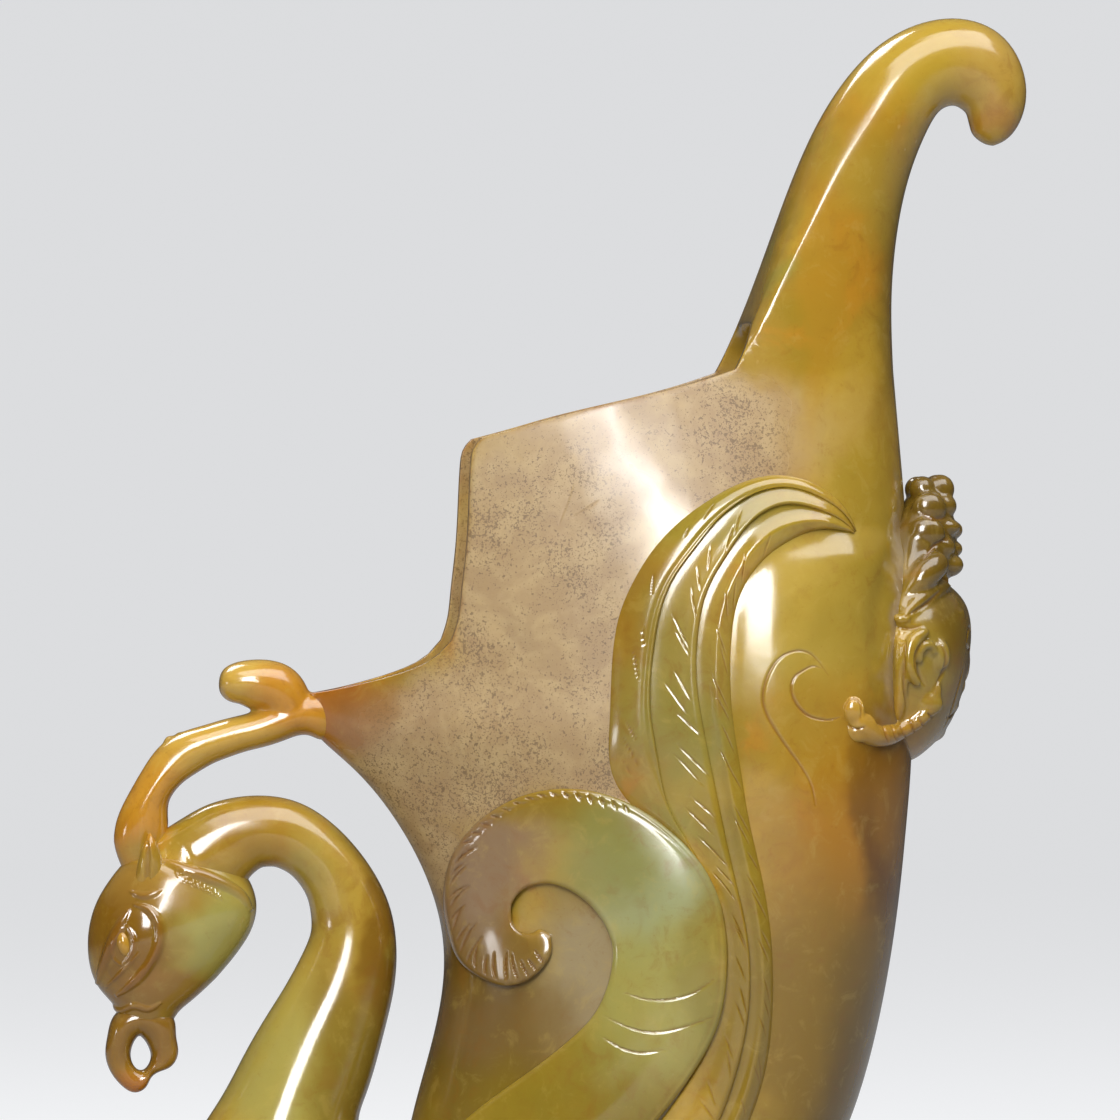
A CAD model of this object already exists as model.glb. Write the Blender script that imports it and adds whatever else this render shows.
# %% [markdown]
# A jade pouring cup in the form of a long-necked bird. The real cup is carved from one pebble of
# yellow-green jade, so the looks are made as a carver works: first the smooth outer forms, then the
# raised wing, then the incised lines, and last the wax polish. The CAD model says where each
# region lies. Here each region becomes a fine, seamless surface on the same place.

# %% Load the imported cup
import math

import bmesh
import bpy
import numpy as np
from mathutils import Matrix, Vector


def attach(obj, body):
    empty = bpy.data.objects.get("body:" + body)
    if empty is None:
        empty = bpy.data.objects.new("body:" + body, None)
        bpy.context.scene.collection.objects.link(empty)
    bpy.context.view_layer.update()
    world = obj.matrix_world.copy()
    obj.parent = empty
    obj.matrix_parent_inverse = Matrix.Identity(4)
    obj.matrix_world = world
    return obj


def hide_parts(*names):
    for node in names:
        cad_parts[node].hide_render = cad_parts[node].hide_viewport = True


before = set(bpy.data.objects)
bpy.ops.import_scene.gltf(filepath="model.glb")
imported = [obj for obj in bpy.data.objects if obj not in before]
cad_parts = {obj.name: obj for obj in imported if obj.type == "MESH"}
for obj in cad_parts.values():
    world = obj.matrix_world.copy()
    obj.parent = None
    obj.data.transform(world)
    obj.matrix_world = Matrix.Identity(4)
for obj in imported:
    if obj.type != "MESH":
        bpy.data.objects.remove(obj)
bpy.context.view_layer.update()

# %% [markdown]
# Everything below is drawn in millimetres, seen square from the bird's left side: x runs from the
# beak to the tail, z is the height above the table. Many lines are named by their places in the
# photograph, whose pixels one function turns into millimetres. The photograph was taken from 5 degrees
# ahead of square, so a line on the near side appears shifted. Another function turns it back later.

# %% Units, the angle of view and places in the photograph
MM = 0.001
VIEW_TURN = math.radians(5.0)
PHOTO_SIDE, PIXEL_SIZE = 1120, 0.12
MIDDLE_COLUMN, TABLE_ROW = PHOTO_SIDE / 2, 1460


def seen(pixels):
    """Places of the photograph, in its pixels, as millimetres of the side view."""
    column, row = np.array(pixels, float).T
    return np.stack([(column - MIDDLE_COLUMN) * PIXEL_SIZE, (TABLE_ROW - row) * PIXEL_SIZE], axis=-1)


print("the photograph is", round(PHOTO_SIDE * PIXEL_SIZE, 1), "mm wide and ends",
      round(float(seen([(0, PHOTO_SIDE)])[0, 1]), 1), "mm above the table")

# %% [markdown]
# Polished stone shows every kink as a broken highlight. A cubic spline keeps its bend steady from
# point to point, so few points give a long clean curve. It is solved once with numpy and can then
# be read at thousands of places at a time.

# %% A curve with a steady bend
def smooth_curve(rows, places=None):
    """A natural cubic spline through rows of numbers, read at places from 0 to 1 or at the rows' own."""
    rows = np.array(rows, float)
    if places is None:
        strides = np.linalg.norm(np.diff(rows, axis=0), axis=1)
        places = np.concatenate([[0.0], np.cumsum(strides)]) / strides.sum()
    places = np.array(places, float)
    gaps = np.diff(places)
    system = np.eye(len(rows))
    pull = np.zeros_like(rows)
    for k in range(1, len(rows) - 1):
        system[k, k - 1:k + 2] = gaps[k - 1], 2 * (gaps[k - 1] + gaps[k]), gaps[k]
        pull[k] = 6 * ((rows[k + 1] - rows[k]) / gaps[k] - (rows[k] - rows[k - 1]) / gaps[k - 1])
    bends = np.linalg.solve(system, pull)

    def read(at):
        at = np.asarray(at, float)
        k = np.clip(np.searchsorted(places, at) - 1, 0, len(gaps) - 1)
        after = ((at - places[k]) / gaps[k])[..., None]
        before = 1 - after
        span = (gaps[k] ** 2 / 6)[..., None]
        return (before * rows[k] + after * rows[k + 1]
                + span * ((before ** 3 - before) * bends[k] + (after ** 3 - after) * bends[k + 1]))

    return read


def ease(value):
    """0 below 0, 1 above 1, and a smooth rise between."""
    value = np.clip(value, 0, 1)
    return value * value * (3 - 2 * value)


quarter = smooth_curve([(1, 0), (math.sqrt(0.5), math.sqrt(0.5)), (0, 1)])(np.linspace(0, 1, 9))
print("a quarter circle through 3 points is off by", round(float(np.abs(np.hypot(*quarter.T) - 1).max()), 3))

# %% [markdown]
# Every new surface starts as one flat grid from bmesh and is bent into place, as a potter lays a
# slab over a form. The place function receives the grid's own two shares, u and v, and returns
# millimetres. A fourth column, where there is one, says how deep in a carved crease a point lies.

# %% Bending a grid
CREASE = "crease"
WELD, SHARP_ANGLE = 0.004 * MM, 50


def new_builder():
    """An empty bmesh whose points can carry the crease value."""
    builder = bmesh.new()
    builder.verts.layers.float.new(CREASE)
    return builder


def bent_grid(builder, across, along, place, keep=None):
    """Adds a flat grid and bends it. keep(u, v) names the faces that stay."""
    made = bmesh.ops.create_grid(builder, x_segments=across, y_segments=along, size=0.5)["verts"]
    if keep is not None:
        extra = [face for face in {f for vertex in made for f in vertex.link_faces}
                 if not keep(*(face.calc_center_median().xy + Vector((0.5, 0.5))))]
        bmesh.ops.delete(builder, geom=extra, context="FACES")
        made = [vertex for vertex in made if vertex.is_valid]
    flat = np.array([vertex.co[:2] for vertex in made]) + 0.5
    bent = place(flat[:, 0], flat[:, 1])
    layer = builder.verts.layers.float[CREASE]
    for vertex, row in zip(made, bent):
        vertex.co = row[:3] * MM
        if len(row) > 3:
            vertex[layer] = row[3]


def points(x, y, z, crease=None):
    """Columns of coordinates side by side."""
    x, y, z = np.broadcast_arrays(x, y, z)
    columns = [x, y, z] if crease is None else [x, y, z, np.broadcast_to(crease, x.shape)]
    return np.stack(columns, axis=-1)


trial = new_builder()
bent_grid(trial, 4, 3, lambda u, v: points(u, v, np.sin(math.pi * u)))
highest = max(vertex.co.z for vertex in trial.verts) / MM
print("a trial sheet of", len(trial.verts), "points is bent", round(highest, 2), "mm high")
trial.free()

# %% [markdown]
# A finished piece is one closed skin: doubled points are merged, open ends are filled, and all faces
# are turned outwards. Then it takes its stone and says which regions of the CAD model it stands for.

# %% Finishing a piece
def close_up(builder):
    """Merges doubled points, fills open ends and turns the faces outwards."""
    bmesh.ops.remove_doubles(builder, verts=builder.verts, dist=WELD)
    rims = [edge for edge in builder.edges if edge.is_boundary]
    if rims:
        bmesh.ops.holes_fill(builder, edges=rims, sides=0)
    bmesh.ops.recalc_face_normals(builder, faces=builder.faces)


def finish_piece(name, builder, material, nodes):
    """Makes a bmesh the piece that stands for some CAD nodes."""
    close_up(builder)
    mesh = bpy.data.meshes.new(name)
    builder.to_mesh(mesh)
    builder.free()
    mesh.shade_smooth()
    mesh.set_sharp_from_angle(angle=math.radians(SHARP_ANGLE))
    mesh.materials.append(material)
    piece = bpy.data.objects.new(name, mesh)
    bpy.context.collection.objects.link(piece)
    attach(piece, "root")
    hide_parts(*nodes)
    print(name, "has", len(mesh.polygons), "faces")


trial = new_builder()
bent_grid(trial, 12, 4, lambda u, v: points(np.cos(2 * math.pi * u), np.sin(2 * math.pi * u), v))
close_up(trial)
print("a closed can faces outwards, since it holds", round(trial.calc_volume() / MM ** 3, 2), "cubic mm")
trial.free()

# %% [markdown]
# One stone runs through the whole cup, so its colours are painted by place, in the object's own
# coordinates, and carry on from part to part. First come soft clouds of olive, honey and amber. Then
# named stains lie where the pebble shows them: the dry, speckled wall, the clear green in the wing,
# the rust at the tail's tip and the crest.

# %% Node helpers
def shade(red, green, blue):
    """A screen colour, 0 to 255, as the linear colour that a shader takes."""
    return tuple(((c / 255 + 0.055) / 1.055) ** 2.4 if c > 10 else c / 255 / 12.92
                 for c in (red, green, blue)) + (1.0,)


def add(tree, kind, inputs=None, **settings):
    """A node with its settings, and its inputs set or linked."""
    node = tree.nodes.new(kind)
    for key, value in settings.items():
        setattr(node, key, value)
    for key, value in (inputs or {}).items():
        if isinstance(value, bpy.types.NodeSocket):
            tree.links.new(value, node.inputs[key])
        else:
            node.inputs[key].default_value = value
    return node


def sum_up(tree, operation, first, second, third=None, clamp=False):
    """One step of arithmetic."""
    inputs = {0: first, 1: second} if third is None else {0: first, 1: second, 2: third}
    return add(tree, "ShaderNodeMath", inputs, operation=operation, use_clamp=clamp).outputs[0]


def blend(tree, share, first, second):
    """One colour mixed into another."""
    return add(tree, "ShaderNodeMix", {0: share, 6: first, 7: second}, data_type="RGBA").outputs[2]


def noise(tree, place, scale, detail=3.0, rough=0.5, twist=0.0):
    """The value of a wandering noise at a place."""
    return add(tree, "ShaderNodeTexNoise", {"Vector": place, "Scale": scale, "Detail": detail,
                                            "Roughness": rough, "Distortion": twist}).outputs["Fac"]


def ramp(tree, value, low, high):
    """0 below low, 1 above high, smooth between."""
    return add(tree, "ShaderNodeMapRange", {"Value": value, "From Min": low, "From Max": high},
               interpolation_type="SMOOTHSTEP").outputs["Result"]


def new_group(name, **outputs):
    """An empty node group with its outputs, and the stone's own coordinates in it."""
    tree = bpy.data.node_groups.new(name, "ShaderNodeTree")
    for title, kind in outputs.items():
        tree.interface.new_socket(name=title, in_out="OUTPUT", socket_type=f"NodeSocket{kind}")
    return tree, tree.nodes.new("NodeGroupOutput"), add(tree, "ShaderNodeTexCoord").outputs["Object"]


OLIVE, HONEY, AMBER = shade(148, 120, 34), shade(178, 142, 46), shade(174, 122, 32)
GREEN, RUST, FLECK = shade(136, 130, 52), shade(146, 84, 22), shade(214, 190, 120)
print("olive as a linear colour:", [round(part, 3) for part in OLIVE[:3]])

# %% [markdown]
# The clouds come from a few noises laid over each other. The places at which they are read are first
# pushed about by another noise, which turns round blobs into the drawn-out drifts of a real pebble.
# Where a noise crosses its middle value there is a thin vein, and cell centres make pale flecks.

# %% The stone's clouds
clouds, out, own = new_group("stone_clouds", Colour="Color", Place="Vector")
drift = add(clouds, "ShaderNodeTexNoise", {"Vector": own, "Scale": 55.0, "Detail": 4.0, "Roughness": 0.55})
shift = add(clouds, "ShaderNodeVectorMath", {0: drift.outputs["Color"], 1: (0.5, 0.5, 0.5)},
            operation="SUBTRACT")
warped = add(clouds, "ShaderNodeVectorMath", {0: shift.outputs[0], 1: (0.016, 0.016, 0.016), 2: own},
             operation="MULTIPLY_ADD").outputs[0]
vein = sum_up(clouds, "SUBTRACT", noise(clouds, warped, 120.0, 6.0, 0.62, 0.9), 0.5)
vein = sum_up(clouds, "SUBTRACT", 1.0, ramp(clouds, sum_up(clouds, "ABSOLUTE", vein, 0.0), 0.0, 0.02))
cells = add(clouds, "ShaderNodeTexVoronoi", {"Vector": warped, "Scale": 520.0}).outputs["Distance"]
fleck = sum_up(clouds, "MULTIPLY", ramp(clouds, sum_up(clouds, "SUBTRACT", 1.0, cells), 0.82, 0.93),
               ramp(clouds, noise(clouds, own, 140.0), 0.56, 0.66))
colour = OLIVE
for share, strength, tone in (
        (ramp(clouds, noise(clouds, warped, 52.0, 4.0, 0.55), 0.42, 0.6), 1.0, HONEY),
        (ramp(clouds, noise(clouds, warped, 96.0, 5.0, 0.62), 0.55, 0.7), 1.0, AMBER),
        (ramp(clouds, noise(clouds, own, 70.0, 3.0, 0.5, 0.4), 0.56, 0.7), 0.55, GREEN),
        (vein, 0.16, RUST), (fleck, 0.35, FLECK)):
    colour = blend(clouds, sum_up(clouds, "MULTIPLY", share, strength), colour, tone)
clouds.links.new(colour, out.inputs["Colour"])
clouds.links.new(warped, out.inputs["Place"])
print("the clouds take", len(clouds.nodes), "nodes")

# %% [markdown]
# The dry wall of the cup is full of dark grains, thick in some places and thin in others. They are the
# peaks of two very fine noises. A wider noise sets how high a peak must be, and so how many are seen.

# %% Dark grains
grains, out, own = new_group("dark_grains", Grain="Float")
limit = sum_up(grains, "MULTIPLY_ADD", noise(grains, own, 120.0, 4.0, 0.6), -0.32, 0.745)
coarse = sum_up(grains, "SUBTRACT", noise(grains, own, 2400.0, 3.0, 0.65), limit)
fine = sum_up(grains, "SUBTRACT", noise(grains, own, 4600.0, 2.0, 0.6), limit)
grain = sum_up(grains, "ADD", ramp(grains, coarse, 0.0, 0.035), ramp(grains, fine, 0.03, 0.07), clamp=True)
grains.links.new(grain, out.inputs["Grain"])
print("the grains take", len(grains.nodes), "nodes")

# %% [markdown]
# Seen closely, the polished stone is marbled with darker and paler strands. The polish itself is not
# perfect: it leaves long hairs in one direction, a few pits, and a slow swell that makes the edges of
# the highlights wander. These go into the roughness and the bump, never into the colour.

# %% Marbling and polish
marble, out, own = new_group("fine_marbling", Darker="Float", Lighter="Float")
strands = noise(marble, own, 330.0, 6.0, 0.68, 0.6)
where = ramp(marble, noise(marble, own, 75.0, 3.0, 0.5), 0.4, 0.62)
dark = sum_up(marble, "MULTIPLY", ramp(marble, strands, 0.5, 0.66), where)
speck = sum_up(marble, "MULTIPLY", ramp(marble, noise(marble, own, 1500.0, 3.0, 0.6), 0.62, 0.7), 0.5)
marble.links.new(sum_up(marble, "ADD", dark, speck, clamp=True), out.inputs["Darker"])
marble.links.new(ramp(marble, sum_up(marble, "SUBTRACT", 1.0, strands), 0.52, 0.68), out.inputs["Lighter"])

polish, out, own = new_group("polish", Roughness="Float", Height="Float")
long_way = add(polish, "ShaderNodeMapping", {"Vector": own, "Rotation": (0.2, 0.5, 0.1),
                                             "Scale": (2600.0, 2600.0, 160.0)}).outputs[0]
height = sum_up(polish, "MULTIPLY", noise(polish, own, 130.0, 2.0, 0.5), 1.6)
height = sum_up(polish, "MULTIPLY_ADD", noise(polish, own, 900.0, 3.0, 0.6), 0.35, height)
height = sum_up(polish, "MULTIPLY_ADD", noise(polish, long_way, 1.0, 2.0, 0.5), 0.25, height)
dull = ramp(polish, noise(polish, own, 90.0, 4.0, 0.6), 0.4, 0.7)
polish.links.new(sum_up(polish, "MULTIPLY_ADD", dull, 0.1, 0.14), out.inputs["Roughness"])
polish.links.new(height, out.inputs["Height"])
print("marbling and polish take", len(marble.nodes) + len(polish.nodes), "nodes")

# %% [markdown]
# A stain is an egg-shaped region with a soft, wandering edge. Each stretch of the stone gets its own
# list: place in the photograph's pixels, half sizes in millimetres, colour and strength. A stain of
# strength 1 would hide the clouds, so most are weaker.

# %% Where the stains lie
WALL_STAINS = [
    ((790, 600), (9, 16), (168, 144, 62), 0.7), ((865, 550), (6, 14), (148, 122, 38), 0.7),
    ((840, 850), (10, 14), (166, 110, 20), 0.85), ((800, 740), (9, 8), (160, 122, 34), 0.6),
    ((884, 900), (4, 26), (92, 56, 2), 0.95), ((800, 1010), (10, 16), (124, 94, 20), 0.85),
    ((846, 1090), (5, 16), (96, 72, 14), 0.8), ((900, 800), (4, 8), (150, 104, 26), 0.7),
    ((740, 420), (14, 5), (182, 158, 108), 0.8), ((690, 440), (13, 8), (164, 130, 84), 0.8),
    ((600, 450), (7, 6), (150, 112, 72), 0.85),
    ((840, 250), (5, 9), (174, 126, 32), 0.6), ((850, 380), (8, 8), (164, 132, 42), 0.6),
    ((870, 130), (5, 7), (164, 116, 24), 0.5), ((888, 320), (2.5, 16), (134, 106, 28), 0.7),
    ((866, 190), (5, 6), (158, 132, 46), 0.6), ((880, 60), (8, 6), (176, 140, 42), 0.6),
    ((930, 55), (12, 6), (172, 142, 46), 0.8), ((1010, 136), (3.4, 1.8), (156, 96, 26), 0.5),
    ((1000, 80), (5, 5), (176, 142, 70), 0.6), ((800, 290), (2.5, 14), (168, 124, 34), 0.6),
    ((745, 350), (3, 9), (166, 132, 52), 0.5),
    ((470, 1080), (7, 18), (92, 66, 22), 0.9), ((440, 960), (4, 14), (88, 66, 30), 0.8),
    ((560, 1130), (16, 12), (126, 106, 30), 0.7), ((330, 706), (5.5, 6), (156, 94, 22), 0.95),
    ((378, 716), (6.5, 4), (138, 92, 46), 0.85), ((585, 980), (7, 12), (152, 136, 104), 0.9),
    ((500, 1020), (8, 5), (116, 92, 52), 0.7), ((600, 560), (5, 16), (166, 138, 108), 0.7),
    ((876, 650), (1.2, 9), (152, 130, 98), 0.8), ((886, 575), (1.5, 5), (152, 130, 98), 0.7),
    ((901, 530), (1.3, 5), (146, 126, 92), 0.7),
]
DRY_PLACES = [((540, 600), (12, 25)), ((690, 430), (10, 7)), ((470, 740), (13, 11)), ((405, 770), (7, 8)),
              ((520, 480), (8, 6)), ((590, 740), (8, 8)), ((410, 860), (6, 8))]
PALE_STAINS = [
    ((650, 885), (9, 9), (150, 154, 112), 0.95), ((640, 1000), (10, 9), (150, 146, 78), 0.8),
    ((475, 865), (6.5, 10), (132, 104, 72), 0.95), ((462, 930), (4, 8), (140, 112, 78), 0.8),
    ((505, 960), (8, 4.5), (118, 90, 40), 0.85), ((560, 805), (10, 3.5), (136, 108, 34), 0.8),
    ((600, 850), (7, 6), (130, 126, 60), 0.85), ((650, 825), (6, 3), (120, 108, 36), 0.7),
    ((560, 1110), (16, 8), (124, 106, 28), 0.75), ((215, 935), (6, 7.5), (154, 148, 78), 0.9),
    ((120, 950), (5, 9), (120, 82, 14), 0.9), ((160, 880), (7, 3.5), (150, 112, 42), 0.7),
    ((150, 1000), (5, 3), (150, 108, 46), 0.6), ((700, 950), (3, 14), (128, 112, 36), 0.6),
]
OLIVE_STAINS = [
    ((630, 690), (4, 14), (134, 104, 40), 0.75), ((625, 560), (5, 9), (142, 106, 26), 0.8),
    ((690, 500), (14, 5), (138, 122, 36), 0.8), ((668, 700), (5, 14), (134, 124, 56), 0.8),
    ((740, 880), (5, 24), (132, 112, 34), 0.7), ((740, 1040), (6, 14), (130, 104, 30), 0.7),
    ((700, 620), (5, 10), (150, 128, 62), 0.6), ((250, 820), (9, 4), (148, 110, 28), 0.7),
    ((330, 900), (5, 12), (160, 136, 62), 0.6), ((389, 950), (2.0, 18), (112, 76, 14), 0.8),
    ((300, 1075), (9, 12), (154, 144, 72), 0.85), ((350, 1060), (4, 14), (124, 98, 24), 0.8),
    ((955, 660), (5, 12), (112, 86, 20), 0.85), ((930, 520), (6, 10), (94, 72, 20), 0.9),
    ((915, 670), (3, 6), (146, 124, 52), 0.7), ((890, 740), (5, 3), (156, 110, 34), 0.7),
    ((850, 710), (4, 4), (172, 132, 46), 0.7),
]
AMBER_STAINS = [
    ((210, 745), (9, 5), (190, 152, 60), 0.8), ((140, 810), (5, 7), (188, 132, 34), 0.8),
    ((128, 850), (4, 4), (176, 116, 26), 0.7), ((245, 685), (6, 4), (190, 154, 66), 0.8),
    ((295, 704), (4, 4), (184, 124, 30), 0.8), ((140, 1088), (5, 2.4), (172, 100, 24), 0.85),
    ((130, 1030), (5, 5), (124, 88, 24), 0.85), ((150, 858), (3.4, 4), (156, 124, 40), 0.95),
]
print("stains:", sum(map(len, (WALL_STAINS, PALE_STAINS, OLIVE_STAINS, AMBER_STAINS))),
      "dry places:", len(DRY_PLACES))

# %% [markdown]
# Jade is hard and takes a waxy gloss. The shader has a strong refraction, a thin clear coat and a
# little light that goes in and comes out nearby. The dry wall has lost its wax, so it is rougher and
# has less coat. Brown polish has settled in every crease, which the carved points remember as an
# attribute. Values that are the same all over a stone are set on the shader itself.

# %% The four stretches of jade
COAT, COAT_ROUGHNESS, REFRACTION = 0.5, 0.08, 1.62
INNER_LIGHT, INNER_RADIUS, INNER_REACH = 0.2, (0.8, 0.65, 0.3), 0.0016
BUMP_HEIGHT, BUMP_STRENGTH = 0.00005, 0.4


def spot_of(tree, place, centre, reach, soft=0.55):
    """1 in the middle of an egg-shaped region on both sides of the cup, 0 outside it."""
    x, z = (float(side) * MM for side in seen([centre])[0])
    away = add(tree, "ShaderNodeVectorMath", {0: place, 1: (x, 0.0, z)}, operation="SUBTRACT").outputs[0]
    scaled = add(tree, "ShaderNodeVectorMath", {0: away, 1: (1 / reach[0] / MM, 0.0, 1 / reach[1] / MM)},
                 operation="MULTIPLY").outputs[0]
    far = add(tree, "ShaderNodeVectorMath", {0: scaled}, operation="LENGTH").outputs["Value"]
    return sum_up(tree, "SUBTRACT", 1.0, ramp(tree, far, 1 - soft, 1 + soft))


def jade_of(name, stains, dry=(), tint=HONEY, tint_share=0.0):
    """A polished jade with its own stains."""
    made = bpy.data.materials.new(name)
    made.use_nodes = True
    tree = made.node_tree
    shader = tree.nodes["Principled BSDF"]
    stone = add(tree, "ShaderNodeGroup", node_tree=clouds)
    finish = add(tree, "ShaderNodeGroup", node_tree=polish)
    place, colour = stone.outputs["Place"], stone.outputs["Colour"]
    if tint_share:
        colour = blend(tree, tint_share, colour, tint)
    for centre, reach, stain, strength in stains:
        share = sum_up(tree, "MULTIPLY", spot_of(tree, place, centre, reach), strength)
        colour = blend(tree, share, colour, shade(*stain))
    streaks = add(tree, "ShaderNodeGroup", node_tree=marble).outputs
    for kind, strength, tone in (("Darker", 0.3, shade(128, 78, 20)), ("Lighter", 0.16, shade(190, 164, 84))):
        colour = blend(tree, sum_up(tree, "MULTIPLY", streaks[kind], strength), colour, tone)
    roughness = finish.outputs["Roughness"]
    if dry:
        dryness = 0.0
        for centre, reach in dry:
            dryness = sum_up(tree, "MAXIMUM", dryness, spot_of(tree, place, centre, reach, 0.35))
        mottle = ramp(tree, noise(tree, place, 260.0, 4.0, 0.6), 0.35, 0.68)
        beige = blend(tree, mottle, shade(152, 124, 84), shade(170, 144, 100))
        colour = blend(tree, sum_up(tree, "MULTIPLY", dryness, 0.92), colour, beige)
        grain = add(tree, "ShaderNodeGroup", node_tree=grains).outputs["Grain"]
        share = sum_up(tree, "MULTIPLY", sum_up(tree, "MULTIPLY", grain, dryness), 0.62)
        colour = blend(tree, share, colour, shade(84, 58, 28))
        roughness = sum_up(tree, "MULTIPLY_ADD", dryness, 0.3, roughness)
        gloss = sum_up(tree, "MULTIPLY_ADD", dryness, -0.8 * COAT, COAT)
        tree.links.new(gloss, shader.inputs["Coat Weight"])
    deep = add(tree, "ShaderNodeAttribute", attribute_name=CREASE).outputs["Fac"]
    colour = blend(tree, sum_up(tree, "MULTIPLY", deep, 0.6), colour, shade(122, 70, 18))
    tree.links.new(colour, shader.inputs["Base Color"])
    tree.links.new(roughness, shader.inputs["Roughness"])
    bump = add(tree, "ShaderNodeBump", {"Height": finish.outputs["Height"], "Distance": BUMP_HEIGHT,
                                        "Strength": BUMP_STRENGTH})
    tree.links.new(bump.outputs["Normal"], shader.inputs["Normal"])
    for socket, value in (("IOR", REFRACTION), ("Coat Roughness", COAT_ROUGHNESS),
                          ("Subsurface Weight", INNER_LIGHT), ("Subsurface Radius", INNER_RADIUS),
                          ("Subsurface Scale", INNER_REACH)):
        shader.inputs[socket].default_value = value
    if not dry:
        shader.inputs["Coat Weight"].default_value = COAT
    return made


JADES = {
    "jade_speckled": jade_of("speckled_stone", WALL_STAINS, DRY_PLACES),
    "jade_olive": jade_of("olive_stone", OLIVE_STAINS),
    "jade_amber": jade_of("amber_stone", AMBER_STAINS, tint=shade(184, 132, 38), tint_share=0.6),
    "jade_pale": jade_of("pale_stone", PALE_STAINS),
}
print("jades:", {name: len(made.node_tree.nodes) for name, made in JADES.items()})

# %% [markdown]
# The cup's outside is a stack of level, egg-shaped sections: narrow at the foot, full at the back,
# drawn out to a spout in front. A carver checks such a form with templates at a few heights. The
# spline joins the templates, and the same formula later tells the wing and the feathers where the
# stone's side lies.

# %% The cup's templates
# Height, front edge, back edge, half width, lean of the broadest place to the back
SECTIONS = [
    (6.0, -10.8, 10.8, 7.4, 0.0), (10.2, -13.4, 15.6, 9.8, 0.0), (16.8, -16.4, 21.2, 12.3, 0.02),
    (24.0, -18.6, 26.5, 14.3, 0.05), (31.2, -19.2, 30.4, 15.6, 0.08), (41.2, -17.8, 34.9, 16.8, 0.12),
    (52.3, -14.9, 38.1, 17.5, 0.18), (61.5, -14.0, 39.8, 17.9, 0.24), (69.0, -15.7, 40.8, 18.0, 0.3),
    (77.2, -20.0, 41.6, 18.0, 0.4), (83.8, -25.7, 42.1, 18.0, 0.5), (88.0, -30.0, 42.2, 17.9, 0.56),
    (92.0, -30.9, 42.2, 17.8, 0.6), (97.0, -30.9, 42.2, 17.5, 0.6), (109.2, -30.0, 41.9, 16.6, 0.56),
    (122.4, -28.8, 40.9, 14.4, 0.5), (130.7, -27.6, 40.2, 12.6, 0.45),
]
SEAT, CUP_FOOT = 130.7, 5.2
FLOOR, BOTTOM_ROUND = 29.0, 24.0
RIM_WALL, SIDE_WALL, FRONT_WALL, BACK_WALL = 1.7, 3.0, 3.8, 4.2
section = smooth_curve([row[1:] for row in SECTIONS], [row[0] for row in SECTIONS])


def outer_form(z):
    """Front, back, half width and lean of the outside at a height."""
    return np.moveaxis(section(z), -1, 0)


def inner_form(z):
    """The same for the hollow, whose wall thins upwards and whose bottom is round."""
    front, back, half, lean = outer_form(z)
    up = np.clip((z - FLOOR) / (SEAT - FLOOR), 0, 1)
    wall = SIDE_WALL + (RIM_WALL - SIDE_WALL) * up
    depth = np.clip(1 - (z - FLOOR) / BOTTOM_ROUND, 0, 1)
    shrink = np.sqrt(1 - depth ** 2)
    middle = (front + FRONT_WALL + back - BACK_WALL) / 2
    reach = (back - BACK_WALL - front - FRONT_WALL) / 2 * shrink
    return middle - reach, middle + reach, (half - wall) * shrink, lean


def egg_width(cosine, half, lean):
    """Half width of an egg-shaped section at a place between its front, -1, and its back, 1."""
    fullest = 2 * lean / (1 + np.sqrt(1 + 8 * lean ** 2))
    crown = np.sqrt(1 - fullest ** 2) * (1 + lean * fullest)
    return half * np.sqrt(np.clip(1 - cosine ** 2, 0, 1)) * (1 + lean * cosine) / crown


print("the cup has", len(SECTIONS), "templates, and its hollow is",
      round(float(np.subtract(*inner_form(90.0)[1::-1])), 1), "mm long at a height of 90 mm")

# %% [markdown]
# The plain flank swells a little behind the feathers, where the bird's body shows. The feather
# lines are drawn here, because the swelling starts at the last of them: the outer edge, the two
# ridges between the strands, and the line where the strands meet the body.

# %% The feather lines and the flank
FEATHER_LINES = [
    [(35.3, 111.4), (34.4, 113.4), (32.2, 115.9), (29.2, 117.5), (25.8, 118.1), (22.4, 117.5),
     (18.4, 115.6), (14.4, 112.8), (11.1, 109.4), (8.8, 105.8), (7.0, 101.6), (6.1, 96.0), (5.8, 88.8),
     (6.3, 82.0), (8.9, 78.4), (12.6, 75.2), (16.2, 71.6), (18.6, 68.4)],
    [(35.2, 111.4), (34.2, 112.9), (31.2, 115.2), (26.9, 116.6), (22.7, 115.7), (18.7, 112.7),
     (16.0, 109.4), (13.6, 106.1), (12.1, 102.7), (11.2, 98.5), (10.7, 94.1), (10.7, 90.1),
     (11.5, 84.8), (12.6, 79.3), (15.2, 74.5), (18.6, 68.4), (19.9, 61.5), (19.3, 55.0), (17.2, 49.0),
     (13.2, 42.6), (8.4, 36.4), (3.4, 30.8)],
    [(35.1, 111.3), (33.6, 112.5), (30.4, 114.0), (26.4, 114.5), (22.5, 112.3), (20.2, 109.2),
     (18.2, 106.0), (17.0, 103.1), (16.4, 100.1), (16.1, 96.1), (16.3, 92.2), (16.9, 88.4),
     (17.8, 83.8), (19.1, 77.4), (20.6, 70.7), (22.0, 64.6), (22.5, 60.0), (22.2, 53.3), (20.9, 47.2),
     (18.4, 40.6), (14.2, 34.2), (9.4, 28.6)],
    [(35.0, 111.2), (33.5, 111.5), (30.7, 111.6), (27.7, 110.5), (24.7, 108.5), (22.4, 105.8),
     (21.0, 102.8), (20.4, 99.4), (20.2, 95.4), (20.4, 90.1), (21.4, 83.2), (22.5, 76.7), (23.6, 71.9),
     (24.6, 66.8), (25.2, 60.7), (25.2, 54.2), (24.5, 48.0), (22.3, 41.0), (18.2, 34.2), (13.0, 28.0)],
]
FLANK_SWELL, FLANK_ROUND = 1.7, 9.0
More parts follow.
